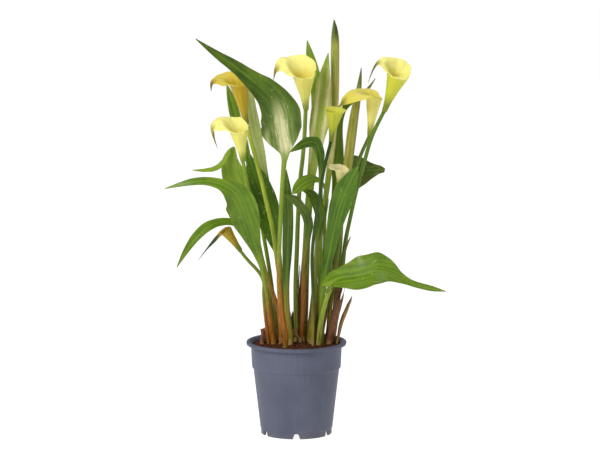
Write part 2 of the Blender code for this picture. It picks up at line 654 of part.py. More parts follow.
def plant(sockets):
    for name, (stations, facings) in LEAVES.items():
        rolled = name in ROLLED
        rings = shoot_rings(stations, LEAF_SIDES, max(12, len(stations) + 3), facings, flat=not rolled)
        add_rooted(name, rings, LEAF_GREEN, sockets)
    for name, stations in (SHEATHS | STUBS).items():
        rings = shoot_rings(stations, STEM_SIDES, 5, [FRONT, FRONT], flat=False)
        add_rooted(name, rings, SHEATH_BROWN, sockets)
    bract = shoot_rings(BRACT, 6, 4, [FRONT, FRONT], rooted=False, flat=False)
    closed_loft("bract_right", bract, SHEATH_BROWN)
    for name, flower in FLOWERS.items():
        base = place(*flower["stem"][-1][:3])
        mouth = place(*flower["mouth"])
        axis = (mouth - base).normalized()
        stem = shoot_rings(flower["stem"], STEM_SIDES, 9, [FRONT, FRONT], flat=False)
        centre = sum(stem[-1], Vector()) / STEM_SIDES
        turn = (centre - sum(stem[-2], Vector()) / STEM_SIDES).rotation_difference(axis).to_matrix()
        stem[-1] = [base - axis * CLEARANCE + turn @ (p - centre) for p in stem[-1]]
        add_rooted(f"stem_{name}", stem, STEM_GREEN, sockets)
        seat = spathe(name, base, flower, SPATHE_COLOURS.get(name, LEMON))
        spadix(name, base, *seat)


clear_scene()
pot()
shoot_sockets = bpy.data.collections.new("sockets")
bpy.context.scene.collection.children.link(shoot_sockets)
plant(shoot_sockets)
soil(shoot_sockets)
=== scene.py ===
"""The looks of a potted calla lily: every CAD shoot is rebuilt around its own rings as a fine piece.

Metres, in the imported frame.  Lengths inside the shape and material code that are easier to read in
millimetres are written as `number * MM`.
"""

import json
import math

import bmesh
import bpy
import numpy as np
from mathutils import Matrix, Vector, noise

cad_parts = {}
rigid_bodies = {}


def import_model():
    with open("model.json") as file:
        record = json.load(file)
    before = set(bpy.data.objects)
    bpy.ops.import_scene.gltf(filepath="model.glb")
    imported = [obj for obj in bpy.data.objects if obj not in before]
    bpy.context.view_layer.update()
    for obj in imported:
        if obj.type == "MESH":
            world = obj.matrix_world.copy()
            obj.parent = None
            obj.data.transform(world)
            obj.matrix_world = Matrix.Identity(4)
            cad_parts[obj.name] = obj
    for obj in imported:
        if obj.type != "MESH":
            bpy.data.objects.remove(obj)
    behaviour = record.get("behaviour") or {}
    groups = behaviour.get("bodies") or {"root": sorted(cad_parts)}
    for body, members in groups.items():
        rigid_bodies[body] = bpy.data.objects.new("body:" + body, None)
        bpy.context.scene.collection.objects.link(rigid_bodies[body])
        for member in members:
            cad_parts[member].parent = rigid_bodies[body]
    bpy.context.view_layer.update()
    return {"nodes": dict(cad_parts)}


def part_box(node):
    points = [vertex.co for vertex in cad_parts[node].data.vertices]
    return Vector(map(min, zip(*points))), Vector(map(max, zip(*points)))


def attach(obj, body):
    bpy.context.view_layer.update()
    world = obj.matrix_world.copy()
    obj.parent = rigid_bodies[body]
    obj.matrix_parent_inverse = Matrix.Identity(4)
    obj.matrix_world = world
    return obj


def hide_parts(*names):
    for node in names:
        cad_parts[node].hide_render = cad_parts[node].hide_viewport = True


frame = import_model()

MM = 0.001
WELD = 0.02 * MM
SHOOT_SIDES = 8
SPATHE_SIDES = 12
MOUTH_STEP = 4
RIM_STEP = 7

POT_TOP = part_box("pot")[1].z
SOIL_LEVEL = POT_TOP - 5.0 * MM

FRONT = np.array((0.0, -1.0, 0.0))


# ---------------- reading the frame


def show_cad(node, look):
    """Gives a CAD node that is shown as it is its material."""
    materials = frame["nodes"][node].data.materials
    materials.clear()
    materials.append(look)


def layers(node, sides, start):
    """The node's points in layers outward from the `sides` points nearest to a start."""
    mesh = bmesh.new()
    mesh.from_mesh(frame["nodes"][node].data)
    bmesh.ops.remove_doubles(mesh, verts=mesh.verts, dist=WELD)
    layer = sorted(mesh.verts, key=start)[:sides]
    seen = set(layer)
    rings = [[(v.co.copy(), []) for v in layer]]
    while True:
        place = {v: i for i, v in enumerate(layer)}
        beyond = {e.other_vert(v) for v in layer for e in v.link_edges} - seen
        if not beyond:
            break
        layer = sorted(beyond, key=lambda v: tuple(v.co))
        seen |= beyond
        joined = [[place[o] for e in v.link_edges if (o := e.other_vert(v)) in place] for v in layer]
        rings.append([(v.co.copy(), j) for v, j in zip(layer, joined)])
    mesh.free()
    return rings


def base_first(vertex):
    return vertex.co.z


def about(points, axis, zero):
    """The angle of each point round an axis, from the direction zero."""
    across = np.cross(axis, zero)
    return np.arctan2(points @ across, points @ zero) % math.tau


def ordered_rings(node, sides, start=base_first):
    """Rings x sides x 3, each ring in the same order round the shoot."""
    raw = layers(node, sides, start)
    first = np.array([p for p, _ in raw[0]])
    second = np.array([p for p, _ in raw[1]])
    axis = second.mean(0) - first.mean(0)
    axis /= np.linalg.norm(axis)
    spoke = first[0] - first.mean(0)
    order = list(np.argsort(about(first - first.mean(0), axis, spoke / np.linalg.norm(spoke))))
    rings = [first[order]]
    step = math.tau / sides
    for ring in raw[1:]:
        rank = {old: new for new, old in enumerate(order)}
        turns = []
        for _, joined in ring:
            around = [rank[j] * step for j in joined]
            turns.append(math.atan2(sum(map(math.sin, around)), sum(map(math.cos, around))) % math.tau)
        order = list(np.argsort(turns))
        points = np.array([ring[i][0] for i in order])
        before = rings[-1] - rings[-1].mean(0)
        shifts = (0, 1, -1)
        apart = [np.sum((np.roll(points - points.mean(0), s, axis=0) - before) ** 2) for s in shifts]
        best = shifts[int(np.argmin(apart))]
        order = list(np.roll(order, best))
        rings.append(np.roll(points, best, axis=0))
    return np.array(rings)


class Shoot:
    """A CAD shoot's midline, its half width, the bend of its edges and its half thickness, ring by ring."""

    def __init__(self, node, sides=SHOOT_SIDES):
        rings = ordered_rings(node, sides)
        half = sides // 2
        quarter = sides // 4
        spans = np.linalg.norm(rings - np.roll(rings, half, axis=1), axis=2)
        widest, edge = np.unravel_index(np.argmax(spans[:, :half]), (len(rings), half))
        rings = np.roll(rings, -edge, axis=1)
        middle = (rings[:, quarter] + rings[:, -quarter]) / 2
        bend = (rings[:, 0] + rings[:, half]) / 2 - middle
        up = rings[widest, quarter] - rings[widest, -quarter]
        facing = bend[widest] if np.linalg.norm(bend[widest]) > 0.5 * MM else FRONT
        if up @ facing < 0:
            rings = np.roll(rings[:, ::-1], 1, axis=1)
        self.middle = middle
        self.side = (rings[:, 0] - rings[:, half]) / 2
        self.bend = bend
        self.thick = (rings[:, quarter] - rings[:, -quarter]) / 2
        self.runs = np.concatenate([[0.0], np.cumsum(np.linalg.norm(np.diff(middle, axis=0), axis=1))])
        self.length = self.runs[-1]
        self.half_widths = np.linalg.norm(self.side, axis=1)
        self.petiole = self.half_widths[1 : widest + 1].min() if widest > 1 else self.half_widths[1]
        self.widest = self.half_widths.max()

    def at(self, where):
        """Middle, side, bend and thickness at distances along the midline (an array of any shape)."""
        flat = np.asarray(where).reshape(-1)
        shape = np.asarray(where).shape + (3,)
        middle = flowing(self.runs, self.middle, flat, False).reshape(shape)
        others = (self.side, self.bend, self.thick)
        return middle, *(flowing(self.runs, values, flat, True).reshape(shape) for values in others)


def flowing(stations, values, where, tight):
    """Values at `where` on a smooth curve through the stations' values; a tight one never overshoots."""
    gaps = np.diff(stations)[:, None]
    rises = np.diff(values, axis=0) / gaps
    slopes = np.empty_like(values)
    slopes[0], slopes[-1] = rises[0], rises[-1]
    before, after = rises[:-1], rises[1:]
    if tight:
        agree = before * after > 0
        slopes[1:-1] = np.where(agree, 2 * before * after / np.where(agree, before + after, 1.0), 0.0)
    else:
        slopes[1:-1] = (before * gaps[1:] + after * gaps[:-1]) / (gaps[1:] + gaps[:-1])
    i = np.clip(np.searchsorted(stations, where, side="right") - 1, 0, len(gaps) - 1)
    gap = gaps[i]
    t = ((where - stations[i])[:, None]) / gap
    return (
        values[i] * (2 * t**3 - 3 * t**2 + 1)
        + slopes[i] * gap * (t**3 - 2 * t**2 + t)
        + values[i + 1] * (3 * t**2 - 2 * t**3)
        + slopes[i + 1] * gap * (t**3 - t**2)
    )


def ease(value):
    value = np.clip(value, 0.0, 1.0)
    return value * value * (3.0 - 2.0 * value)


def unit(vectors):
    return vectors / np.maximum(np.linalg.norm(vectors, axis=-1, keepdims=True), 1e-12)


# ---------------- making pieces


def link(name, data):
    """A new object in the scene."""
    made = bpy.data.objects.new(name, data)
    bpy.context.scene.collection.objects.link(made)
    return made


def add_piece(name, mesh, look, stands_for=()):
    """A smooth-shaded piece on the body "root", in place of the CAD nodes that it stands for."""
    mesh.shade_smooth()
    mesh.materials.append(look)
    piece = link(name, mesh)
    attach(piece, "root")
    if stands_for:
        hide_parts(*stands_for)
    return piece


def make_piece(node, points, faces, look, values=None):
    """A piece that stands for a CAD node, from points, faces and per-point values for its material."""
    mesh = bpy.data.meshes.new(node + "_fine")
    mesh.from_pydata(np.asarray(points).reshape(-1, 3).tolist(), [], faces)
    for label, data in (values or {}).items():
        spread = np.broadcast_to(data, np.shape(points)[:-1])
        field = mesh.attributes.new(label, "FLOAT", "POINT")
        field.data.foreach_set("value", spread.astype(np.float32).reshape(-1))
    return outward(add_piece(node + "_fine", mesh, look, (node,)))


def tube_faces(rows, count):
    """Quads of a closed tube of rows x count points, with a flat cap at each end."""
    faces = []
    for r in range(rows - 1):
        for c in range(count):
            d = (c + 1) % count
            faces.append((r * count + c, r * count + d, (r + 1) * count + d, (r + 1) * count + c))
    faces.append(tuple(range(count))[::-1])
    faces.append(tuple((rows - 1) * count + c for c in range(count)))
    return faces


def outward(piece):
    """Turns the piece's faces so that they all look out of it."""
    mesh = bmesh.new()
    mesh.from_mesh(piece.data)
    bmesh.ops.recalc_face_normals(mesh, faces=mesh.faces)
    if mesh.calc_volume(signed=True) < 0:
        bmesh.ops.reverse_faces(mesh, faces=mesh.faces)
    mesh.to_mesh(piece.data)
    mesh.free()
    return piece


def thick_sheet(grid, thickness):
    """Points and faces of a sheet of even thickness laid along a grid of rows x columns points."""
    rows, columns = grid.shape[:2]
    down = np.gradient(grid, axis=0)
    over = np.gradient(grid, axis=1)
    normal = unit(np.cross(down, over))
    edge = np.minimum.reduce(np.meshgrid(
        np.minimum(np.arange(rows), np.arange(rows)[::-1]),
        np.minimum(np.arange(columns), np.arange(columns)[::-1]), indexing="ij",
    ))
    thin = np.where(edge == 0, 0.45, 1.0)[..., None]
    points = np.stack([grid + normal * thickness / 2 * thin, grid - normal * thickness / 2 * thin])
    layer = rows * columns
    faces = []
    for r in range(rows - 1):
        for c in range(columns - 1):
            quad = (r * columns + c, r * columns + c + 1, (r + 1) * columns + c + 1, (r + 1) * columns + c)
            faces.append(quad)
            faces.append(tuple(layer + i for i in quad[::-1]))
    border = list(range(columns))
    border += [r * columns + columns - 1 for r in range(1, rows)]
    border += [(rows - 1) * columns + c for c in range(columns - 2, -1, -1)]
    border += [r * columns for r in range(rows - 2, 0, -1)]
    for a, b in zip(border, border[1:] + border[:1]):
        faces.append((b, a, layer + a, layer + b))
    return points, faces


# ---------------- material nodes


def rgb(red, green, blue):
    """A linear colour from 0 to 255 display values."""
    def linear(value):
        value /= 255
        return value / 12.92 if value <= 0.04045 else ((value + 0.055) / 1.055) ** 2.4
    return (linear(red), linear(green), linear(blue), 1.0)


def shaded(colour, share):
    return tuple(part * share for part in colour[:3]) + (1.0,)


class Paint:
    """A node material being put together; each method adds a node and gives the socket that matters."""

    def __init__(self, name, **constants):
        self.material = bpy.data.materials.new(name)
        self.material.use_nodes = True
        self.tree = self.material.node_tree
        self.shader = self.tree.nodes["Principled BSDF"]
        for label, value in constants.items():
            self.shader.inputs[label.replace("_", " ")].default_value = value

    def give(self, socket, value):
        if isinstance(value, bpy.types.NodeSocket):
            self.tree.links.new(value, socket)
        else:
            socket.default_value = value

    def add(self, kind, inputs=None, **settings):
        made = self.tree.nodes.new(kind)
        for label, value in settings.items():
            setattr(made, label, value)
        for label, value in (inputs or {}).items():
            self.give(made.inputs[label], value)
        return made

    def value(self, label):
        return self.add("ShaderNodeAttribute", attribute_name=label).outputs["Fac"]

    def position(self):
        return self.add("ShaderNodeTexCoord").outputs["Object"]

    def height(self):
        """Millimetres above the soil."""
        z = self.add("ShaderNodeSeparateXYZ", {0: self.position()}).outputs["Z"]
        return self.times(self.maths("SUBTRACT", z, SOIL_LEVEL), 1 / MM)

    def maths(self, operation, a, b=0.0, c=0.0):
        return self.add("ShaderNodeMath", {0: a, 1: b, 2: c}, operation=operation).outputs[0]

    def times(self, a, b, plus=None):
        """a * b, or a * b + plus."""
        if plus is None:
            return self.maths("MULTIPLY", a, b)
        return self.maths("MULTIPLY_ADD", a, b, plus)

    def vector(self, x, y=0.0, z=0.0):
        return self.add("ShaderNodeCombineXYZ", {0: x, 1: y, 2: z}).outputs[0]

    def stretch(self, vector, x, y, z):
        inputs = {0: vector, 1: (x, y, z)}
        return self.add("ShaderNodeVectorMath", inputs, operation="MULTIPLY").outputs[0]

    def noise(self, vector, scale, detail=3.0, roughness=0.55):
        inputs = {"Vector": vector, "Scale": scale, "Detail": detail, "Roughness": roughness}
        return self.add("ShaderNodeTexNoise", inputs).outputs["Fac"]

    def cells(self, vector, scale):
        made = self.add("ShaderNodeTexVoronoi", {"Vector": vector, "Scale": scale})
        return made.outputs["Distance"], made.outputs["Color"]

    def band(self, value, low, high, to_low=0.0, to_high=1.0):
        """A smooth step from to_low at low to to_high at high."""
        made = self.add("ShaderNodeMapRange", interpolation_type="SMOOTHSTEP")
        for label, given in zip((0, 1, 2, 3, 4), (value, low, high, to_low, to_high)):
            self.give(made.inputs[label], given)
        return made.outputs[0]

    def ramp(self, share, stops):
        made = self.add("ShaderNodeValToRGB", {0: share})
        elements = made.color_ramp.elements
        while len(elements) < len(stops):
            elements.new(0.5)
        for element, (at, colour) in zip(elements, stops):
            element.position = at
            element.color = colour
        return made.outputs["Color"]

    def mix(self, share, a, b, blend="MIX"):
        made = self.add("ShaderNodeMix", data_type="RGBA", blend_type=blend)
        self.give(made.inputs[0], share)
        self.give(made.inputs[6], a)
        self.give(made.inputs[7], b)
        return made.outputs[2]

    def finish(self, colour, reliefs=(), roughness=None):
        """The material, with each relief (height, depth in metres) laid over the one before."""
        below = {}
        for height, depth in reliefs:
            inputs = {"Height": height, "Distance": depth, "Strength": 1.0, **below}
            below = {"Normal": self.add("ShaderNodeBump", inputs).outputs["Normal"]}
        self.give(self.shader.inputs["Base Color"], colour)
        for label, socket in below.items():
            self.give(self.shader.inputs[label], socket)
        if roughness is not None:
            self.give(self.shader.inputs["Roughness"], roughness)
        return self.material


CREAM_BASE = rgb(190, 164, 104)
FLECK = rgb(178, 196, 130)
SEAM_BROWN = rgb(112, 78, 34)
MARGIN = rgb(132, 152, 62)
UNDERSIDE = rgb(104, 134, 54)
VEIN_SPACING = 2.4
FINE_VEIN_SPACING = 0.8
TISSUE = {
    "Subsurface_Weight": 0.06, "Subsurface_Scale": 0.003, "Specular_IOR_Level": 0.2,
    "Coat_Weight": 0.14, "Coat_Roughness": 0.2,
}


def petiole_colour(paint, green, low, reach):
    """Green above, the colour `low` up to about `reach` mm and cream where the shoot leaves the soil."""
    height = paint.height()
    streaks = paint.noise(paint.stretch(paint.position(), 900.0, 900.0, 22.0), 1.0, 3.0)
    blotches = paint.noise(paint.position(), 60.0, 4.0)
    ragged = paint.times(blotches, 50.0, paint.maths("SUBTRACT", height, 25.0))
    up = paint.band(ragged, reach * 0.35, reach * 1.25)
    greens = paint.mix(paint.band(streaks, 0.38, 0.62), shaded(green, 0.74), green)
    lows = paint.mix(paint.band(streaks, 0.35, 0.6), shaded(low, 0.48), low)
    colour = paint.mix(up, lows, greens)
    pale = paint.band(ragged, 0.0, 9.0, 0.6, 0.0)
    return paint.mix(pale, colour, CREAM_BASE), streaks


def flamed_and_highlighted(paint, blade, flame_and_highlight, run, off, along):
    """The blade's colour with one feathered pale patch, a cream core in a pale green zone: mostly
    variegation, and for the side patches of big_variegated a painted highlight.
    """
    core_colour, zone_colour, centre, spread, start, end = flame_and_highlight
    lanes = paint.vector(paint.times(off, 0.42), paint.times(run, 0.04), 3.0)
    feather = paint.maths("SUBTRACT", paint.noise(lanes, 1.0, 4.0, 0.65), 0.5)
    aside = paint.maths("ABSOLUTE", paint.maths("SUBTRACT", off, centre))
    aside = paint.times(feather, spread * 1.8, aside)
    upper_end = paint.band(along, end - 45.0, end, 1.0, 0.0)
    ends = paint.times(paint.band(along, start, start + 12.0), upper_end)
    zone = paint.times(paint.band(aside, spread * 0.25, spread * 1.25, 0.8, 0.0), ends)
    core = paint.times(paint.band(aside, spread * 0.1, spread * 0.6, 0.95, 0.0), ends)
    return paint.mix(core, paint.mix(zone, blade, zone_colour), core_colour)


def flecked(paint, blade, share, run, off, half):
    """The blade's colour with small pale flecks in a share of the cells along the veins."""
    spot = paint.vector(paint.times(run, 0.30), paint.times(off, 0.13), half)
    far, tint = paint.cells(spot, 1.0)
    chosen = paint.add("ShaderNodeSeparateColor", {0: tint}).outputs[0]
    present = paint.maths("GREATER_THAN", share, chosen)
    dot = paint.times(paint.band(far, 0.12, 0.30, 0.7, 0.0), present)
    return paint.mix(dot, blade, FLECK)


def leaf_look(name, dark, light, green, low, reach, flecks, flames_and_highlights, rolled):
    """Blade greens between dark and light along the veins, over a petiole that turns to `low` at its foot."""
    paint = Paint(name, **TISSUE)
    off = paint.value("off")
    share = paint.value("across")
    half = paint.value("half")
    along = paint.value("along")
    bladed = paint.value("blade")
    steep = paint.times(paint.maths("POWER", share, 3.0), 0.9)
    curve = paint.times(share, 1.1, steep)
    run = paint.maths("SUBTRACT", along, paint.times(curve, half))
    across = 0.8 if rolled else 0.3
    lanes = paint.vector(paint.times(off, across), paint.times(along, 0.012), 0.0)
    broad = paint.noise(lanes, 1.0, 4.0)
    waver = paint.noise(paint.position(), 45.0, 2.0)
    phase = paint.times(run, math.tau / VEIN_SPACING, paint.times(waver, 5.0))
    veins = paint.maths("SINE", phase)
    fine = paint.maths("SINE", paint.times(run, math.tau / FINE_VEIN_SPACING))
    tone = paint.times(veins, 0.05, paint.band(broad, 0.1, 0.9))
    tone = paint.times(paint.maths("SUBTRACT", waver, 0.5), 0.8, tone)
    blade = paint.mix(paint.band(tone, 0.0, 1.0), dark, light)
    # Variegation patches, with big_variegated's side patches as painted highlight.
    for flame_and_highlight in flames_and_highlights:
        blade = flamed_and_highlighted(paint, blade, flame_and_highlight, run, off, along)
    if flecks:
        blade = flecked(paint, blade, flecks, run, off, half)
    if rolled:
        tip, tip_from = rolled
        ragged = paint.times(broad, 30.0, along)
        blade = paint.mix(paint.band(ragged, tip_from, tip_from + 24.0), blade, tip)
        blade = paint.mix(paint.band(paint.value("seam"), 0.01, 0.06, 0.8, 0.0), blade, SEAM_BROWN)
    else:
        rib = paint.band(paint.maths("ABSOLUTE", off), 0.4, 1.6, 0.3, 0.0)
        blade = paint.mix(rib, blade, green)
        blade = paint.mix(paint.band(share, 0.955, 1.0, 0.0, 0.4), blade, MARGIN)
    under = paint.times(paint.maths("SUBTRACT", 1.0, paint.value("upper")), 0.4)
    blade = paint.mix(under, blade, UNDERSIDE)
    stalk, streaks = petiole_colour(paint, green, low, reach)
    colour = paint.mix(bladed, stalk, blade)
    relief = paint.times(fine, 0.25, veins)
    short_of_edge = paint.band(share, 0.9, 1.0, 1.0, 0.0)
    relief = paint.times(relief, paint.times(bladed, short_of_edge))
    ribs = paint.times(streaks, paint.maths("SUBTRACT", 1.0, bladed))
    pores = paint.noise(paint.position(), 1800.0, 2.0)
    reliefs = [(relief, 0.00007), (ribs, 0.0005), (pores, 0.00006)]
    return paint.finish(colour, reliefs, paint.times(broad, 0.16, 0.34))


# ---------------- leaves

LEAF_STEP = 2.3 * MM
MARGIN_WAVE = 34.0
PLEAT_SPACING = 9.5
PLEAT_DEPTH = 0.14 * MM
# Where the points of a blade's cross-section lie, from the midrib (0) to the edge (1).
SHARES = np.array([0.0, 0.05, 0.12, 0.2, 0.3, 0.41, 0.53, 0.65, 0.76, 0.86, 0.94, 0.985, 1.0])
TOP = np.concatenate([SHARES[::-1], -SHARES[1:]])
SECTION_COS = np.concatenate([TOP, TOP[-2:0:-1]])
SECTION_SIN = np.concatenate([np.sqrt(1 - TOP**2), -np.sqrt(1 - TOP[1:-1] ** 2)])


def build_leaf(node, look, seed, ruffle, blade_from):
    """The fine leaf on a CAD leaf: waved margins, a midrib and pleats, or a roll from `blade_from` mm up."""
    rolled = blade_from is not None
    shoot = Shoot(node)
    rows = max(int(shoot.length / LEAF_STEP), 40)
    where = shoot.length * (1 - (1 - np.linspace(0, 1, rows)) ** 1.12)
    middle, side, bend, thick = shoot.at(where)
    half = np.linalg.norm(side, axis=1)
    tangent = unit(np.gradient(middle, axis=0))
    normal = unit(np.cross(np.cross(tangent, thick + bend * 0.2), tangent))
    run = where / MM
    widening = (half - shoot.petiole) / max(0.3 * (shoot.widest - shoot.petiole), 1.0 * MM)
    peak = int(np.argmax(half))
    blade = ease(widening)
    blade[peak:] = 1.0
    if rolled:
        blade = ease((run - blade_from) / 40.0)
    rng = np.random.default_rng(seed)
    phases = rng.uniform(0, math.tau, 4)
    cos, sin = SECTION_COS, SECTION_SIN
    off = half[:, None] * cos
    points = middle[:, None] + side[:, None] * cos[:, None] + thick[:, None] * sin[:, None]
    points += bend[:, None] * (np.abs(cos) ** 1.5)[:, None]
    lift = np.zeros_like(off)
    turn = (np.arctan2(sin, cos)[None, :] + 1.9 + 0.004 * run[:, None]) / math.tau % 1.0
    if rolled:
        swell = (1.0 + 0.16 * (turn - 0.5) * blade[:, None])[..., None]
        points = middle[:, None] + (points - middle[:, None]) * swell
    else:
        size = (ruffle * np.maximum(half - shoot.petiole, 0) * blade)[:, None]
        beat = run * math.tau / MARGIN_WAVE
        left = np.sin(beat + phases[0]) + 0.5 * np.sin(beat / 0.43 + phases[1])
        right = np.sin(beat / 1.15 + phases[2]) + 0.5 * np.sin(beat / 0.5 + phases[3])
        lift += size * np.abs(cos) ** 3 * np.where(cos > 0, right[:, None], left[:, None])
        fade = blade * np.clip((where[-1] - where) / (30 * MM), 0, 1)
        spread = np.exp(-((off / (1.5 * MM)) ** 2))
        keel = np.where(sin < 0, -0.9 * MM, -0.45 * MM)
        lift += fade[:, None] * keel * spread * np.minimum(half / (6 * MM), 1)[:, None]
        lanes = run[:, None] - np.abs(cos) * half[:, None] / MM * 1.4
        between = 4 * np.abs(cos) * (1 - np.abs(cos))
        lift += PLEAT_DEPTH * blade[:, None] * np.sin(lanes * math.tau / PLEAT_SPACING) * between
    points += normal[:, None] * lift[..., None]
    values = {
        "off": off / MM,
        "across": np.abs(cos),
        "half": (half / MM)[:, None],
        "along": run[:, None],
        "blade": blade[:, None],
        "upper": sin >= 0,
        "seam": np.minimum(turn, 1 - turn),
    }
    make_piece(node, points, tube_faces(rows, len(cos)), look, values)


GREEN_STALK = rgb(124, 150, 34)
OLIVE_STALK = rgb(122, 132, 36)
FRESH_STALK = rgb(140, 162, 46)
ORANGE_FOOT = rgb(170, 104, 22)
OLIVE_FOOT = rgb(146, 132, 38)
RUSTY_FOOT = rgb(152, 84, 24)
PALE_FOOT = rgb(150, 158, 56)
BROWN_FOOT = rgb(134, 86, 18)

MID = (rgb(52, 86, 8), rgb(88, 126, 20))
DEEP = (rgb(44, 74, 6), rgb(92, 120, 20))
BRIGHT = (rgb(74, 108, 12), rgb(114, 146, 28))
STRIPED = (rgb(108, 140, 36), rgb(182, 192, 92))
GREY = (rgb(132, 148, 74), rgb(188, 198, 126))
YELLOWED = (rgb(128, 130, 36), rgb(178, 176, 84))
LIME = (rgb(104, 136, 28), rgb(140, 168, 50))
# Painted shade: darker greens for leaves that lie in shade, used on hooked_centre and back_right.
PAINTED_SHADE_GREENS = (rgb(60, 84, 22), rgb(100, 124, 44))

# Leaf: greens, petiole, foot, how far up the foot's colour reaches (mm), share of flecked cells, and how
# deep the margin waves are as a share of the blade's half width.
LEAVES = {
    "big_variegated": (DEEP, GREEN_STALK, ORANGE_FOOT, 120, 0.10, 0.07),
    "pale_upright": (GREY, FRESH_STALK, OLIVE_FOOT, 90, 0.1, 0.06),
    "left_folded": (BRIGHT, GREEN_STALK, ORANGE_FOOT, 70, 0.05, 0.09),
    "left_hooked": (LIME, GREEN_STALK, OLIVE_FOOT, 60, 0.0, 0.08),
    "left_drooping": (BRIGHT, GREEN_STALK, ORANGE_FOOT, 80, 0.0, 0.05),
    "narrow_back_left": (BRIGHT, GREEN_STALK, OLIVE_FOOT, 80, 0.0, 0.06),
    "speckled_back": (MID, GREEN_STALK, BROWN_FOOT, 70, 0.45, 0.05),
    "arching_centre": (MID, GREEN_STALK, OLIVE_FOOT, 60, 0.05, 0.07),
    "small_centre": (BRIGHT, FRESH_STALK, OLIVE_FOOT, 60, 0.0, 0.07),
    # Painted shade: this leaf's dark greens stand for the shade on its upper surface.
    "hooked_centre": (PAINTED_SHADE_GREENS, OLIVE_STALK, RUSTY_FOOT, 110, 0.0, 0.06),
    "curled_centre": (DEEP, OLIVE_STALK, OLIVE_FOOT, 80, 0.0, 0.06),
    "broad_right": (MID, GREEN_STALK, OLIVE_FOOT, 50, 0.06, 0.06),
    # Painted shade: this back leaf's dark greens stand for the shade it lies in.
    "back_right": (PAINTED_SHADE_GREENS, OLIVE_STALK, BROWN_FOOT, 100, 0.1, 0.08),
    "low_right": (BRIGHT, FRESH_STALK, PALE_FOOT, 30, 0.25, 0.05),
    "behind_top_flower": (LIME, GREEN_STALK, OLIVE_FOOT, 90, 0.0, 0.05),
    "tall_rolled": (YELLOWED, FRESH_STALK, OLIVE_FOOT, 70, 0.0, 0.0),
    "upright_variegated": (STRIPED, FRESH_STALK, OLIVE_FOOT, 90, 0.0, 0.05),
    "rolled_right": (YELLOWED, OLIVE_STALK, RUSTY_FOOT, 110, 0.0, 0.0),
    "curled_strip": (BRIGHT, OLIVE_STALK, BROWN_FOOT, 90, 0.0, 0.05),
    "dark_centre_left": (DEEP, OLIVE_STALK, OLIVE_FOOT, 70, 0.0, 0.05),
}
# Pale patches on a leaf, variegation and on big_variegated also painted highlight: core, zone round it, how
# far the middle is from the midrib, half width, start, end.
FLAMES_AND_HIGHLIGHTS = {
    "big_variegated": [
        (rgb(214, 210, 162), rgb(144, 160, 86), 1.0, 15.0, 232.0, 345.0),
        # Painted highlight: the patches at -18 and +21 mm stand for the gloss on the blade's sides.
        (rgb(184, 194, 136), rgb(140, 158, 84), -18.0, 6.0, 268.0, 322.0),
        (rgb(150, 168, 96), rgb(118, 142, 60), 21.0, 5.0, 262.0, 310.0),
    ],
    "upright_variegated": [
        (rgb(222, 216, 160), rgb(176, 184, 96), -7.0, 6.0, 200.0, 380.0),
        (rgb(214, 208, 140), rgb(170, 180, 90), 6.0, 5.0, 215.0, 360.0),
    ],
    "tall_rolled": [(rgb(212, 196, 132), rgb(160, 160, 60), 3.0, 3.0, 230.0, 372.0)],
    "rolled_right": [(rgb(186, 178, 84), rgb(150, 150, 50), -2.0, 3.0, 190.0, 300.0)],
    "pale_upright": [(rgb(176, 186, 122), rgb(148, 164, 92), 2.0, 4.0, 160.0, 290.0)],
}
# Where the blade of a rolled leaf starts, the colour of its tip and where that starts, in mm.
ROLLED = {
    "tall_rolled": (210.0, rgb(66, 76, 28), 396.0),
    "rolled_right": (180.0, rgb(92, 108, 36), 335.0),
}


def build_leaves():
    for seed, (name, (greens, stalk, foot, reach, flecks, ruffle)) in enumerate(LEAVES.items()):
        node = f"leaf_{name}"
        blade_from, *tip = ROLLED.get(name, (None,))
        look = leaf_look(node, *greens, stalk, foot, reach, flecks, FLAMES_AND_HIGHLIGHTS.get(name, ()), tip)
        build_leaf(node, look, seed, ruffle, blade_from)


# ---------------- flower stems

ROUND = np.arange(28) * math.tau / 28
STEM_STEP = 4.0 * MM
INTO_FLOWER = 0.6 * MM


def ribbed(shoot, rows, ribs):
    """A round shoot's midline and its rings, with ribs as shares of the radius."""
    middle, side, _, thick = shoot.at(np.linspace(0, shoot.length, rows))
    cos, sin = np.cos(ROUND)[:, None], np.sin(ROUND)[:, None]
    return middle, middle[:, None] + (side[:, None] * cos + thick[:, None] * sin) * ribs[:, None]


def build_stem(node, look):
    """A round, faintly ribbed stem that reaches a little way into its flower."""
    shoot = Shoot(node)
    rows = max(int(shoot.length / STEM_STEP), 30)
    middle, points = ribbed(shoot, rows, 1 + 0.025 * np.cos(ROUND * 7))
    points[-1] += unit(middle[-1] - middle[-2]) * INTO_FLOWER
    make_piece(node, points, tube_faces(rows, len(ROUND)), look)


def stem_look(name, green, low, reach):
    paint = Paint(name, **TISSUE)
    colour, streaks = petiole_colour(paint, green, low, reach)
    pores = paint.noise(paint.position(), 1600.0, 2.0)
    return paint.finish(colour, [(streaks, 0.0004), (pores, 0.00006)], paint.times(streaks, 0.2, 0.3))


STEMS = {
    "upper_left": (rgb(168, 184, 52), ORANGE_FOOT, 100),
    "left": (rgb(134, 158, 34), ORANGE_FOOT, 110),
    "top_centre": (rgb(124, 148, 42), PALE_FOOT, 60),
    "cup": (rgb(48, 80, 8), OLIVE_FOOT, 60),
    "back_right": (rgb(104, 126, 38), OLIVE_FOOT, 90),
    "top_right": (rgb(92, 122, 24), BROWN_FOOT, 80),
    "small_right": (rgb(112, 134, 44), OLIVE_FOOT, 80),
    "low_left_bud": (rgb(118, 136, 36), ORANGE_FOOT, 60),
}


# ---------------- spathes


SPATHE_THICKNESS = 0.7 * MM
# How far a spathe's edges lap at its base, mouth, near the rim and at the rim, in degrees.
SEAM_LAP = (34.0, 12.0, 2.0, -7.0)


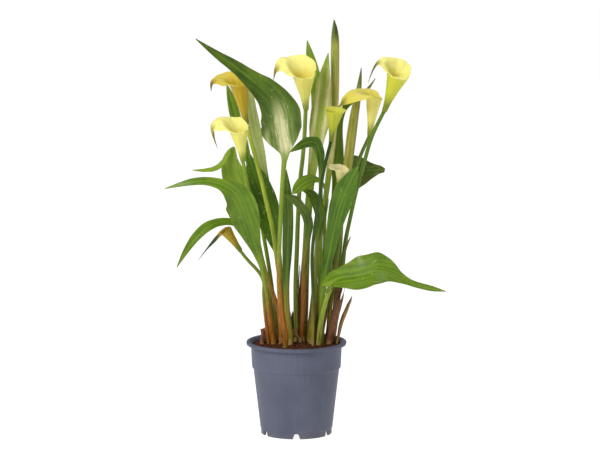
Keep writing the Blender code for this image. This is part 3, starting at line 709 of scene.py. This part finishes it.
class Spathe:
    """A CAD spathe's outer surface: points by step from the base to the rim and by side from the cusp."""

    def __init__(self, name):
        node = f"spathe_{name}"
        stem = ordered_rings(f"stem_{name}", SHOOT_SIDES)
        top = Vector(stem[-1].mean(0))
        raw = layers(node, SPATHE_SIDES, lambda v: (v.co - top).length)
        outer = [np.array([p for p, _ in ring]) for ring in raw[: RIM_STEP + 1]]
        self.base = outer[0].mean(0)
        self.mouth = outer[MOUTH_STEP].mean(0)
        self.axis = unit(self.mouth - self.base)
        spread = outer[-1] - self.mouth
        cusp = spread[int(np.argmax(np.linalg.norm(spread, axis=1)))]
        self.cusp = unit(cusp - self.axis * (cusp @ self.axis))
        rings = []
        for ring in outer:
            angles = about(ring - self.base, self.axis, self.cusp)
            angles = (angles + math.pi / SPATHE_SIDES) % math.tau
            rings.append(ring[np.argsort(angles)])
        self.rings = np.array(rings)
        last = self.rings[-1, 0] - self.rings[-2, 0]
        usual = np.linalg.norm(self.rings[-2, 0] - self.rings[-3, 0])
        self.tail = last - unit(last) * usual
        self.rings[-1, 0] -= self.tail

    def surface(self, step, turn):
        """Points at steps (0 base, 4 mouth, 7 rim) and angles from the cusp, two arrays of one shape."""
        steps = np.arange(RIM_STEP + 1, dtype=float)
        flat = step.reshape(-1)
        columns = self.rings.transpose(1, 0, 2)
        profiles = np.stack([flowing(steps, c, flat, False) for c in columns])
        place = (turn.reshape(-1) / math.tau % 1.0) * SPATHE_SIDES
        i = np.floor(place).astype(int)
        t = (place - i)[:, None]
        rows = np.arange(len(flat))
        p = [profiles[(i + k) % SPATHE_SIDES, rows] for k in (-1, 0, 1, 2)]
        made = 0.5 * (
            2 * p[1] + (p[2] - p[0]) * t + (2 * p[0] - 5 * p[1] + 4 * p[2] - p[3]) * t**2
            + (3 * p[1] - p[0] - 3 * p[2] + p[3]) * t**3
        )
        return made.reshape(step.shape + (3,))


def build_spathe(name, look, seed, curl, rims, ruffle):
    """A sheet rolled round the funnel, one edge over the other, that opens into a waved limb and a cusp.

    In mm, `curl` moves the cusp's tip and `rims` raises the rim's near, far and cusp side.
    """
    shape = Spathe(name)
    rows, columns = 46, 121
    step = RIM_STEP * (1 - (1 - np.linspace(0, 1, rows)) ** 1.1)
    lap = np.radians(np.interp(step, [0, MOUTH_STEP, RIM_STEP - 0.6, RIM_STEP], SEAM_LAP))
    spread = np.linspace(-1, 1, columns)
    turn = spread[None, :] * (math.pi + lap)[:, None]
    steps = np.broadcast_to(step[:, None], turn.shape)
    grid = shape.surface(steps, turn)
    beyond = np.clip((steps - MOUTH_STEP) / (RIM_STEP - MOUTH_STEP), 0, 1)
    point = np.clip(1 - np.abs(turn) / 0.85, 0, 1) ** 2.4 * np.clip((steps - 5.2) / 1.8, 0, 1) ** 1.6
    level = (grid - shape.mouth)[..., :2]
    away = level[..., 1] / np.maximum(np.linalg.norm(level, axis=-1), MM)
    near, far, beside = rims
    rise = near * np.clip(-away, 0, 1) + far * np.clip(away, 0, 1)
    rise += beside * np.clip(np.cos(turn), 0, 1) ** 2
    grid[..., 2] += rise * MM * ease((steps - 2.6) / 3.4) * (1 - point)
    grid += shape.tail * point[..., None] + np.array(curl) * MM * (point**3)[..., None]
    normal = unit(np.cross(np.gradient(grid, axis=0), np.gradient(grid, axis=1)))
    centre = shape.base + shape.axis * ((grid - shape.base) @ shape.axis)[..., None]
    outside = np.sign(np.sum(normal[:rows // 2] * (grid - centre)[:rows // 2], axis=-1).mean())
    normal *= outside
    rng = np.random.default_rng(seed)
    a, b, c = rng.uniform(0, math.tau, 3)
    waves = np.sin(turn * 4 + a) + 0.6 * np.sin(turn * 7 + b) + 0.35 * np.sin(turn * 12 + c)
    body = 1 - point
    lift = ruffle * MM * beyond**2 * waves * body
    lift += 0.9 * MM * ease((turn - 2.3) / 0.9) + 0.12 * MM * np.sin(turn * 9) * (1 - beyond)
    grid += normal * lift[..., None]
    points, faces = thick_sheet(grid, SPATHE_THICKNESS)
    inside = np.stack([np.zeros(turn.shape), np.ones(turn.shape)])
    if outside < 0:
        inside = inside[::-1]
    values = {
        "step": steps / RIM_STEP,
        "turn": turn,
        "cusp": point,
        "inside": inside,
    }
    make_piece(f"spathe_{name}", points, faces, look, values)


def spathe_look(name, foot, funnel, lip, inner, tip, green_to, tip_over):
    """Green at the foot, the funnel's yellow, a paler lip, a deeper throat and a greenish cusp."""
    paint = Paint(name, Subsurface_Weight=0.12, Subsurface_Scale=0.005, Specular_IOR_Level=0.3)
    step = paint.value("step")
    turn = paint.value("turn")
    cloud = paint.noise(paint.position(), 70.0, 3.0)
    rib = paint.maths("SINE", paint.times(cloud, 1.2, paint.times(turn, 34.0)))
    lanes = paint.vector(paint.times(turn, 26.0), paint.times(step, 3.0))
    fibre = paint.noise(lanes, 1.0, 3.0)
    drift = paint.times(paint.maths("SUBTRACT", fibre, 0.5), 0.14, step)
    outer = paint.mix(paint.band(drift, 0.52, 0.82), funnel, lip)
    outer = paint.mix(paint.band(drift, green_to * 0.3, green_to * 1.6), foot, outer)
    within = paint.mix(paint.band(drift, 0.34, 0.6), inner, lip)
    colour = paint.mix(paint.value("inside"), outer, within)
    colour = paint.mix(paint.band(rib, -0.2, 1.0, 0.0, 0.10), colour, funnel)
    colour = paint.mix(paint.band(cloud, 0.35, 0.7, 0.0, 0.10), colour, inner)
    colour = paint.mix(paint.band(paint.value("cusp"), *tip_over), colour, tip)
    pores = paint.noise(paint.position(), 1500.0, 2.0)
    reliefs = [(rib, 0.00007), (fibre, 0.0003), (pores, 0.00005)]
    return paint.finish(colour, reliefs, paint.times(fibre, 0.2, 0.36))


LEMON_FUNNEL = rgb(232, 224, 110)
LEMON_LIP = rgb(240, 232, 134)
GOLD = rgb(226, 212, 84)
GREEN_FOOT = rgb(132, 152, 38)
GREEN_TIP = rgb(128, 124, 40)
OCHRE = (rgb(120, 132, 28), rgb(186, 156, 14), rgb(204, 188, 54), rgb(196, 168, 28), rgb(112, 100, 40))
LIME_YELLOW = (rgb(112, 134, 28), rgb(184, 188, 46), rgb(196, 198, 60), rgb(176, 174, 40), rgb(150, 156, 44))
BUD_GOLD = (rgb(112, 122, 24), rgb(172, 146, 22), rgb(150, 130, 30), rgb(140, 112, 18), rgb(46, 66, 20))
CREAM = (rgb(160, 168, 70), rgb(236, 226, 150), rgb(244, 234, 176), rgb(236, 222, 140), rgb(186, 172, 80))
YELLOW = (GREEN_FOOT, LEMON_FUNNEL, LEMON_LIP, GOLD, GREEN_TIP)
BACK_YELLOW = (GREEN_FOOT, rgb(240, 226, 118), rgb(214, 202, 84), GOLD, GREEN_TIP)
GREEN_YELLOW = (rgb(112, 130, 22), rgb(192, 196, 46), rgb(242, 234, 136), GOLD, rgb(92, 104, 36))

# Colours, how far up the green foot reaches, over which share of the cusp its colour comes in, the cusp's
# curl, the lift of the rim's near, far and cusp side, and the size of its waves, in mm.
SPATHES = {
    "upper_left": (OCHRE, 0.14, (0.2, 0.7), (4, 0, -9), (1, 0, 3), 1.6),
    "left": (YELLOW, 0.16, (0.2, 0.7), (13, 0, -19), (1, -1, 8), 1.3),
    "top_centre": (YELLOW, 0.16, (0.2, 0.7), (2, 0, -9), (1, -3, 9), 1.4),
    "cup": (LIME_YELLOW, 0.2, (0.2, 0.7), (0, 0, 0), (0, -1, 0), 0.8),
    "back_right": (BACK_YELLOW, 0.16, (0.2, 0.7), (-6, 0, -3), (0, 0, 0), 0.9),
    "top_right": (GREEN_YELLOW, 0.2, (0.1, 0.6), (-3, 0, -24), (1, 0, 6), 1.3),
    "small_right": (CREAM, 0.2, (0.2, 0.7), (0, 0, 0), (2, -3, 0), 0.8),
    "low_left_bud": (BUD_GOLD, 0.2, (0.01, 0.1), (0, 0, 0), (0, 0, 0), 0.5),
}
SPATHE_SEED = 40


def build_spadix(name, look):
    """A finger covered in small round anthers."""
    node = f"spadix_{name}"
    stem = ordered_rings(f"stem_{name}", SHOOT_SIDES)
    top = Vector(stem[-1].mean(0))
    rings = ordered_rings(node, SHOOT_SIDES, lambda v: (v.co - top).length)
    centres = rings.mean(1)
    radii = np.linalg.norm(rings - centres[:, None], axis=2).mean(1)
    runs = np.concatenate([[0], np.cumsum(np.linalg.norm(np.diff(centres, axis=0), axis=1))])
    rows, count = 54, 36
    where = np.linspace(0, runs[-1], rows)
    middle = flowing(runs, centres, where, False)
    radius = flowing(runs, radii[:, None], where, True)[:, 0]
    axis = unit(middle[-1] - middle[0])
    zero = unit(np.cross(axis, FRONT))
    other = np.cross(axis, zero)
    turn = np.arange(count) * math.tau / count
    row = np.arange(rows)
    knobs = np.cos(turn * 9 + row[:, None] * math.pi / 3) * np.cos(row * math.pi / 3)[:, None]
    size = radius[:, None] * (1 + 0.10 * knobs)
    around = zero * np.cos(turn)[:, None] + other * np.sin(turn)[:, None]
    points = middle[:, None] + around[None] * size[..., None]
    make_piece(node, points, tube_faces(rows, count), look)


def spadix_look():
    paint = Paint("pollen", Roughness=0.75)
    far, _ = paint.cells(paint.position(), 900.0)
    colour = paint.ramp(far, [(0.0, rgb(240, 206, 70)), (0.5, rgb(222, 174, 40)), (1.0, rgb(160, 112, 24))])
    return paint.finish(colour, [(far, -0.0006)])


def build_flowers():
    pollen = spadix_look()
    for seed, (name, (colours, green_to, tip_over, curl, rims, ruffle)) in enumerate(SPATHES.items()):
        build_stem(f"stem_{name}", stem_look(f"stem_{name}", *STEMS[name]))
        look = spathe_look(f"spathe_{name}", *colours, green_to, tip_over)
        build_spathe(name, look, SPATHE_SEED + seed, curl, rims, ruffle)
        build_spadix(name, pollen)


# ---------------- sheaths, stubs and the bract


SHEATH_WRAP = 2.5
SHEATH_THICKNESS = 0.45 * MM
SHEATH_TORN = 0.3


def build_sheath(node, look, seed):
    """A papery sheath: an open sheet round the shoot's foot with a torn upper edge."""
    shoot = Shoot(node)
    rows, columns = 64, 41
    angles = np.linspace(-SHEATH_WRAP, SHEATH_WRAP, columns)
    rng = np.random.default_rng(seed)
    heights = rng.uniform(1 - SHEATH_TORN, 1.0, 9)
    ragged = np.interp(np.linspace(0, 1, columns), np.linspace(0, 1, 9), heights)
    tip = slice(columns // 2 - 3, columns // 2 + 4)
    ragged[tip] = np.maximum(ragged[tip], 0.97)
    share = np.linspace(0, 1, rows)[:, None] * ragged[None, :]
    middle, side, _, thick = shoot.at(share * shoot.length)
    turn = angles[None, :] + 0.25 * np.sin(share * 9 + seed)
    crinkle = 1 + 0.05 * np.sin(angles * 11 + share * 6) + 0.05 * np.sin(share * 31 + angles * 3)
    around = thick * np.cos(turn)[..., None] + side * np.sin(turn)[..., None]
    grid = middle + around * crinkle[..., None]
    points, faces = thick_sheet(grid, SHEATH_THICKNESS)
    make_piece(node, points, faces, look)


def build_stub(node, look):
    """What is left of a cut petiole: a short round foot with a sunken pith."""
    ribs = 1 + 0.05 * np.cos(ROUND * 5) + 0.02 * np.cos(ROUND * 11)
    middle, points = ribbed(Shoot(node), 30, ribs)
    rings = list(points)
    down = unit(middle[-2] - middle[-1]) * MM
    rim = rings[-1]
    for shrink, drop in ((0.8, 0.15), (0.66, 0.9), (0.25, 1.3)):
        rings.append(middle[-1] + (rim - middle[-1]) * shrink + down * drop)
    make_piece(node, np.array(rings), tube_faces(len(rings), len(ROUND)), look)


def sheath_look(name, low, high, streak):
    """Dry, papery tissue with lengthwise fibres and darker blotches."""
    paint = Paint(name, Roughness=0.72, Subsurface_Weight=0.05, Subsurface_Scale=0.002)
    fibres = paint.noise(paint.stretch(paint.position(), 1100.0, 1100.0, 30.0), 1.0, 4.0, 0.6)
    blotch = paint.noise(paint.position(), 90.0, 4.0, 0.6)
    height = paint.height()
    colour = paint.mix(paint.band(height, 10.0, 60.0), low, high)
    colour = paint.mix(paint.band(fibres, 0.42, 0.66), colour, streak)
    colour = paint.mix(paint.band(blotch, 0.52, 0.72, 0.0, 0.6), colour, rgb(70, 44, 24))
    colour = paint.mix(paint.band(height, 0.0, 8.0, 0.4, 0.0), colour, CREAM_BASE)
    return paint.finish(colour, [(fibres, 0.0007)])


def build_feet():
    tan = sheath_look("sheath_tan", rgb(178, 138, 78), rgb(150, 118, 60), rgb(112, 84, 40))
    rust = sheath_look("sheath_rust", rgb(128, 74, 44), rgb(122, 84, 46), rgb(86, 50, 30))
    olive = sheath_look("sheath_olive", rgb(140, 120, 62), rgb(128, 122, 56), rgb(92, 84, 36))
    looks = {
        "sheath_wide_right": rust, "sheath_thin_right": tan,
        "sheath_dark_centre": rust, "sheath_flap_centre": olive,
    }
    for seed, (node, look) in enumerate(looks.items()):
        build_sheath(node, look, seed)
    show_cad("bract_right", olive)
    for node, look in (("stub_left", tan), ("stub_far_left", rust), ("stub_centre", tan)):
        build_stub(node, look)


# ---------------- pot

RIM_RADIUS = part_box("pot")[1].x
RIM_HEIGHT = 4.2 * MM
MOUTH_RADIUS = RIM_RADIUS - 5.5 * MM
SHOULDER_RADIUS = RIM_RADIUS - 6.7 * MM
STEP_DEPTH = 1.7 * MM
STEP_LEVEL = 80.0 * MM
BASE_RADIUS = 43.2 * MM
WALL = 1.5 * MM
FLOOR = 1.6 * MM
FLOOR_CLEARANCE = 4.4 * MM
FOOT_RADIUS = 42.4 * MM
FOOT_HEIGHT = 6.4 * MM
FOOT_WIDTH = 2.4 * MM
PAD_RADIUS = 8.0 * MM
NOTCHES = 6
NOTCH_WIDTH = 9.0 * MM
NOTCH_TOP_WIDTH = 5.5 * MM
NOTCH_HEIGHT = 6.3 * MM
NOTCH_DEPTH = 9.0 * MM
SHARP_ANGLE = 38.0
POT_SEGMENTS = 144


def inner_wall():
    """The inside of the pot's wall from the floor up, as (radius, height)."""
    lower = SHOULDER_RADIUS - STEP_DEPTH - WALL
    return [
        (BASE_RADIUS - WALL - 0.6 * MM, FLOOR_CLEARANCE + FLOOR),
        (BASE_RADIUS - WALL + 0.6 * MM, FLOOR_CLEARANCE + FLOOR + 2.0 * MM),
        (lower, STEP_LEVEL - 0.4 * MM),
        (SHOULDER_RADIUS - WALL, STEP_LEVEL + 1.6 * MM),
        (MOUTH_RADIUS - WALL, POT_TOP - RIM_HEIGHT),
        (MOUTH_RADIUS + 0.6 * MM, POT_TOP - 1.0 * MM),
    ]


def rounded(outline, radius, steps=3):
    """An outline with each corner cut into a short arc."""
    made = []
    count = len(outline)
    for i in range(count):
        before, corner, after = (Vector(outline[(i + k) % count]) for k in (-1, 0, 1))
        into, out = before - corner, after - corner
        reach = min(radius, into.length * 0.4, out.length * 0.4)
        start = corner + into.normalized() * reach
        end = corner + out.normalized() * reach
        for k in range(steps + 1):
            t = k / steps
            made.append(start * (1 - t) ** 2 + corner * 2 * t * (1 - t) + end * t * t)
    return made


def lathe_points(outline, segments):
    turns = np.arange(segments) * math.tau / segments
    return np.array([[(r * math.cos(t), r * math.sin(t), z) for t in turns] for r, z in outline])


def build_pot():
    foot_inside = FOOT_RADIUS - FOOT_WIDTH
    under = POT_TOP - RIM_HEIGHT
    outline = [
        (PAD_RADIUS + 0.3 * MM, FLOOR_CLEARANCE), (foot_inside - 0.3 * MM, FLOOR_CLEARANCE),
        (foot_inside, 0.0), (FOOT_RADIUS, 0.0), (FOOT_RADIUS, FOOT_HEIGHT),
        (BASE_RADIUS, FOOT_HEIGHT + 0.7 * MM), (SHOULDER_RADIUS - STEP_DEPTH, STEP_LEVEL - 0.6 * MM),
        (SHOULDER_RADIUS, STEP_LEVEL + 0.6 * MM), (MOUTH_RADIUS, under - 0.6 * MM),
        (RIM_RADIUS - 0.6 * MM, under), (RIM_RADIUS, under + 0.8 * MM), (RIM_RADIUS, POT_TOP - 0.8 * MM),
        (RIM_RADIUS - 0.8 * MM, POT_TOP), (MOUTH_RADIUS + 1.8 * MM, POT_TOP), *reversed(inner_wall()),
    ]
    closed = rounded(outline[1:-1], 0.7 * MM)
    outline = [outline[0], *closed, outline[-1]]
    tips = [(PAD_RADIUS, 0.0), *outline]
    points = lathe_points(tips, POT_SEGMENTS)
    pot = make_piece("pot", points, tube_faces(len(tips), POT_SEGMENTS), slate_look())
    half, top, tall = NOTCH_WIDTH / 2, NOTCH_TOP_WIDTH / 2, NOTCH_HEIGHT
    corner = top / 2
    right = [
        (half + 0.4 * MM, -1.0 * MM), (top, tall - corner),
        (top - corner * 0.3, tall - corner * 0.3), (top - corner, tall),
    ]
    notch = right + [(-across, up) for across, up in reversed(right)]
    cutters = bpy.data.collections.new("notches")
    for i in range(NOTCHES):
        turn = Matrix.Rotation(math.tau * i / NOTCHES - math.pi / 2, 3, "Z")
        reach = (FOOT_RADIUS - NOTCH_DEPTH, FOOT_RADIUS + 4.0 * MM)
        rings = np.array([[turn @ Vector((r, a, u)) for a, u in notch] for r in reach])
        mesh = bpy.data.meshes.new("notch")
        mesh.from_pydata(rings.reshape(-1, 3).tolist(), [], tube_faces(2, len(notch)))
        cutters.objects.link(bpy.data.objects.new("notch", mesh))
    bpy.context.scene.collection.children.link(cutters)
    cut = pot.modifiers.new("notches", "BOOLEAN")
    cut.operand_type = "COLLECTION"
    cut.collection = cutters
    cut.solver = "EXACT"
    graph = bpy.context.evaluated_depsgraph_get()
    carved = bpy.data.meshes.new_from_object(pot.evaluated_get(graph))
    pot.modifiers.clear()
    pot.data = carved
    for cutter in list(cutters.objects):
        bpy.data.objects.remove(cutter)
    bpy.data.collections.remove(cutters)
    carved.shade_smooth()
    carved.set_sharp_from_angle(angle=math.radians(SHARP_ANGLE))


def slate_look():
    """Moulded slate-blue plastic: faint flow marks, fine grain, and dust on the foot."""
    paint = Paint("slate_plastic", Specular_IOR_Level=0.3)
    where = paint.position()
    cloud = paint.noise(where, 22.0, 4.0, 0.5)
    flow = paint.noise(paint.stretch(where, 260.0, 260.0, 9.0), 1.0, 3.0)
    grain = paint.noise(where, 2600.0, 2.0)
    z = paint.add("ShaderNodeSeparateXYZ", {0: where}).outputs["Z"]
    colour = paint.mix(paint.band(cloud, 0.3, 0.7), rgb(76, 80, 97), rgb(87, 91, 109))
    colour = paint.mix(paint.band(flow, 0.45, 0.75, 0.0, 0.35), colour, rgb(96, 100, 118))
    dusty = paint.times(paint.band(z, 0.0, 0.016, 1.0, 0.0), paint.band(cloud, 0.35, 0.65))
    colour = paint.mix(paint.times(dusty, 0.35), colour, rgb(112, 106, 102))
    specks, _ = paint.cells(where, 420.0)
    colour = paint.mix(paint.band(specks, 0.03, 0.10, 0.35, 0.0), colour, rgb(64, 65, 72))
    return paint.finish(colour, [(flow, 0.00012), (grain, 0.00006)], paint.times(cloud, 0.18, 0.44))


# ---------------- soil


SOIL_SEGMENTS = 160
SOIL_CLEARANCE = 0.4 * MM
CRUMBS = 760


def soil_height(x, y):
    at = Vector((x, y, 0.0))
    lumps = noise.noise(at * 90.0) * 1.5 * MM + noise.noise(at * 230.0) * 0.9 * MM
    return SOIL_LEVEL + lumps + noise.noise(at * 620.0) * 0.6 * MM


def inner_radius(height):
    radii, heights = zip(*inner_wall())
    return float(np.interp(height, heights, radii))


def build_soil():
    edge_level = SOIL_LEVEL - 1.5 * MM
    rings = [(r - SOIL_CLEARANCE, z) for r, z in inner_wall() if z < edge_level - 1.0 * MM]
    rings.append((inner_radius(edge_level) - SOIL_CLEARANCE, edge_level))
    points = lathe_points(rings, SOIL_SEGMENTS)
    outer = rings[-1][0]
    top = []
    for share in np.linspace(0.985, 0.01, 56) ** 0.8:
        ring = lathe_points([(outer * share, 0.0)], SOIL_SEGMENTS)[0]
        ring[:, 2] = [soil_height(x, y) for x, y, _ in ring]
        top.append(ring)
    points = np.concatenate([points, np.array(top)])
    look = peat_look()
    make_piece("soil", points, tube_faces(len(points), SOIL_SEGMENTS), look)
    crumbs = bmesh.new()
    rng = np.random.default_rng(11)
    for _ in range(CRUMBS):
        radius = outer * 0.97 * math.sqrt(rng.uniform(0, 1))
        angle = rng.uniform(0, math.tau)
        x, y = radius * math.cos(angle), radius * math.sin(angle)
        size = 0.5 * MM + 1.5 * MM * rng.uniform() ** 2.2
        spin = Matrix.Rotation(rng.uniform(0, math.tau), 4, "Z")
        spin @= Matrix.Rotation(rng.uniform(0, 1.2), 4, "X")
        shape = Matrix.Diagonal((rng.uniform(0.8, 1.9), rng.uniform(0.7, 1.1), rng.uniform(0.55, 0.9), 1.0))
        place = Matrix.Translation((x, y, soil_height(x, y) + size * 0.25))
        made = bmesh.ops.create_icosphere(crumbs, subdivisions=2, radius=size)["verts"]
        offset = Vector(rng.uniform(0, 50, 3))
        for vertex in made:
            vertex.co *= 1.0 + 0.35 * noise.noise(vertex.co.normalized() * 1.7 + offset)
        bmesh.ops.transform(crumbs, matrix=place @ spin @ shape, verts=made)
    mesh = bpy.data.meshes.new("peat_crumbs")
    crumbs.to_mesh(mesh)
    crumbs.free()
    add_piece("peat_crumbs", mesh, look)


def peat_look():
    paint = Paint("peat", Roughness=0.95, Specular_IOR_Level=0.2)
    where = paint.position()
    cloud = paint.noise(where, 160.0, 5.0, 0.65)
    grit = paint.noise(where, 900.0, 4.0, 0.7)
    fibres = paint.noise(paint.stretch(where, 300.0, 1400.0, 700.0), 1.0, 3.0)
    colour = paint.ramp(cloud, [(0.28, rgb(38, 20, 12)), (0.5, rgb(80, 44, 24)), (0.72, rgb(124, 70, 38))])
    colour = paint.mix(paint.band(grit, 0.55, 0.75, 0.0, 0.7), colour, rgb(134, 84, 48))
    colour = paint.mix(paint.band(fibres, 0.62, 0.72, 0.0, 0.5), colour, rgb(48, 28, 18))
    return paint.finish(colour, [(grit, 0.0012), (cloud, 0.002)])


def corm_look():
    """Rough brown corm skin with rings of old leaf scars."""
    paint = Paint("corm_skin", Roughness=0.85)
    z = paint.add("ShaderNodeSeparateXYZ", {0: paint.position()}).outputs["Z"]
    waver = paint.noise(paint.position(), 120.0, 4.0)
    rings = paint.maths("SINE", paint.times(z, 2100.0, paint.times(waver, 6.0)))
    colour = paint.ramp(waver, [(0.3, rgb(92, 62, 38)), (0.7, rgb(156, 118, 78))])
    colour = paint.mix(paint.band(rings, 0.5, 1.0, 0.0, 0.5), colour, rgb(70, 44, 26))
    return paint.finish(colour, [(rings, 0.0006)])


# ---------------- stage


CAMERA_PLACE = (0.0043, -4.0, 0.84)
CAMERA_DIP = 8.36
CAMERA_LENS = 203.3
FLOOR_REACH = 40.0
WHITE = (1.0, 1.0, 1.0, 1.0)
SKY_STRENGTH = 0.38
FLOOR_GLOW = 0.88
FLOOR_GREYS = ((0.30, 0.30, 0.30, 1.0), (0.33, 0.33, 0.33, 1.0))
AIM = Vector((0.0, 0.0, 0.25))


def build_stage():
    glow = {"Emission_Color": WHITE, "Emission_Strength": FLOOR_GLOW}
    floor_paint = Paint("pale_floor", Roughness=0.9, Specular_IOR_Level=0.0, **glow)
    cloud = floor_paint.noise(floor_paint.position(), 0.8, 2.0)
    floor_paint.finish(floor_paint.mix(cloud, *FLOOR_GREYS))
    mesh = bpy.data.meshes.new("floor")
    corners = [(x * FLOOR_REACH, y * FLOOR_REACH, 0) for x, y in ((-1, -1), (1, -1), (1, 1), (-1, 1))]
    mesh.from_pydata(corners, [], [(0, 1, 2, 3)])
    mesh.materials.append(floor_paint.material)
    link("floor", mesh)


def area_light(name, place, size, power, colour=(1.0, 1.0, 1.0)):
    light = bpy.data.lights.new(name, "AREA")
    light.shape = "DISK"
    light.size = size
    light.energy = power
    light.color = colour
    lamp = link(name, light)
    lamp.location = place
    lamp.rotation_euler = (AIM - Vector(place)).to_track_quat("-Z", "Y").to_euler()


def build_lights():
    world = bpy.data.worlds.new("studio")
    bpy.context.scene.world = world
    world.use_nodes = True
    back = world.node_tree.nodes["Background"]
    back.inputs["Color"].default_value = WHITE
    back.inputs["Strength"].default_value = SKY_STRENGTH
    area_light("key", (-1.6, -1.9, 2.0), 1.3, 62.0, (1.0, 0.99, 0.97))
    area_light("fill", (2.0, -1.6, 1.0), 1.6, 3.0, (0.97, 0.98, 1.0))
    area_light("top", (0.2, 0.8, 2.4), 1.6, 16.0)


def build_camera():
    camera = link("camera", bpy.data.cameras.new("camera"))
    camera.location = CAMERA_PLACE
    camera.rotation_euler = (math.radians(90.0 - CAMERA_DIP), 0.0, 0.0)
    camera.data.sensor_width = 36.0
    camera.data.lens = CAMERA_LENS
    bpy.context.scene.camera = camera
    bpy.context.scene.view_settings.view_transform = "Standard"


build_camera()
build_lights()
build_stage()
build_pot()
build_soil()
build_leaves()
build_flowers()
build_feet()
skin = corm_look()
for side in ("left", "right"):
    show_cad(f"tuber_{side}", skin)
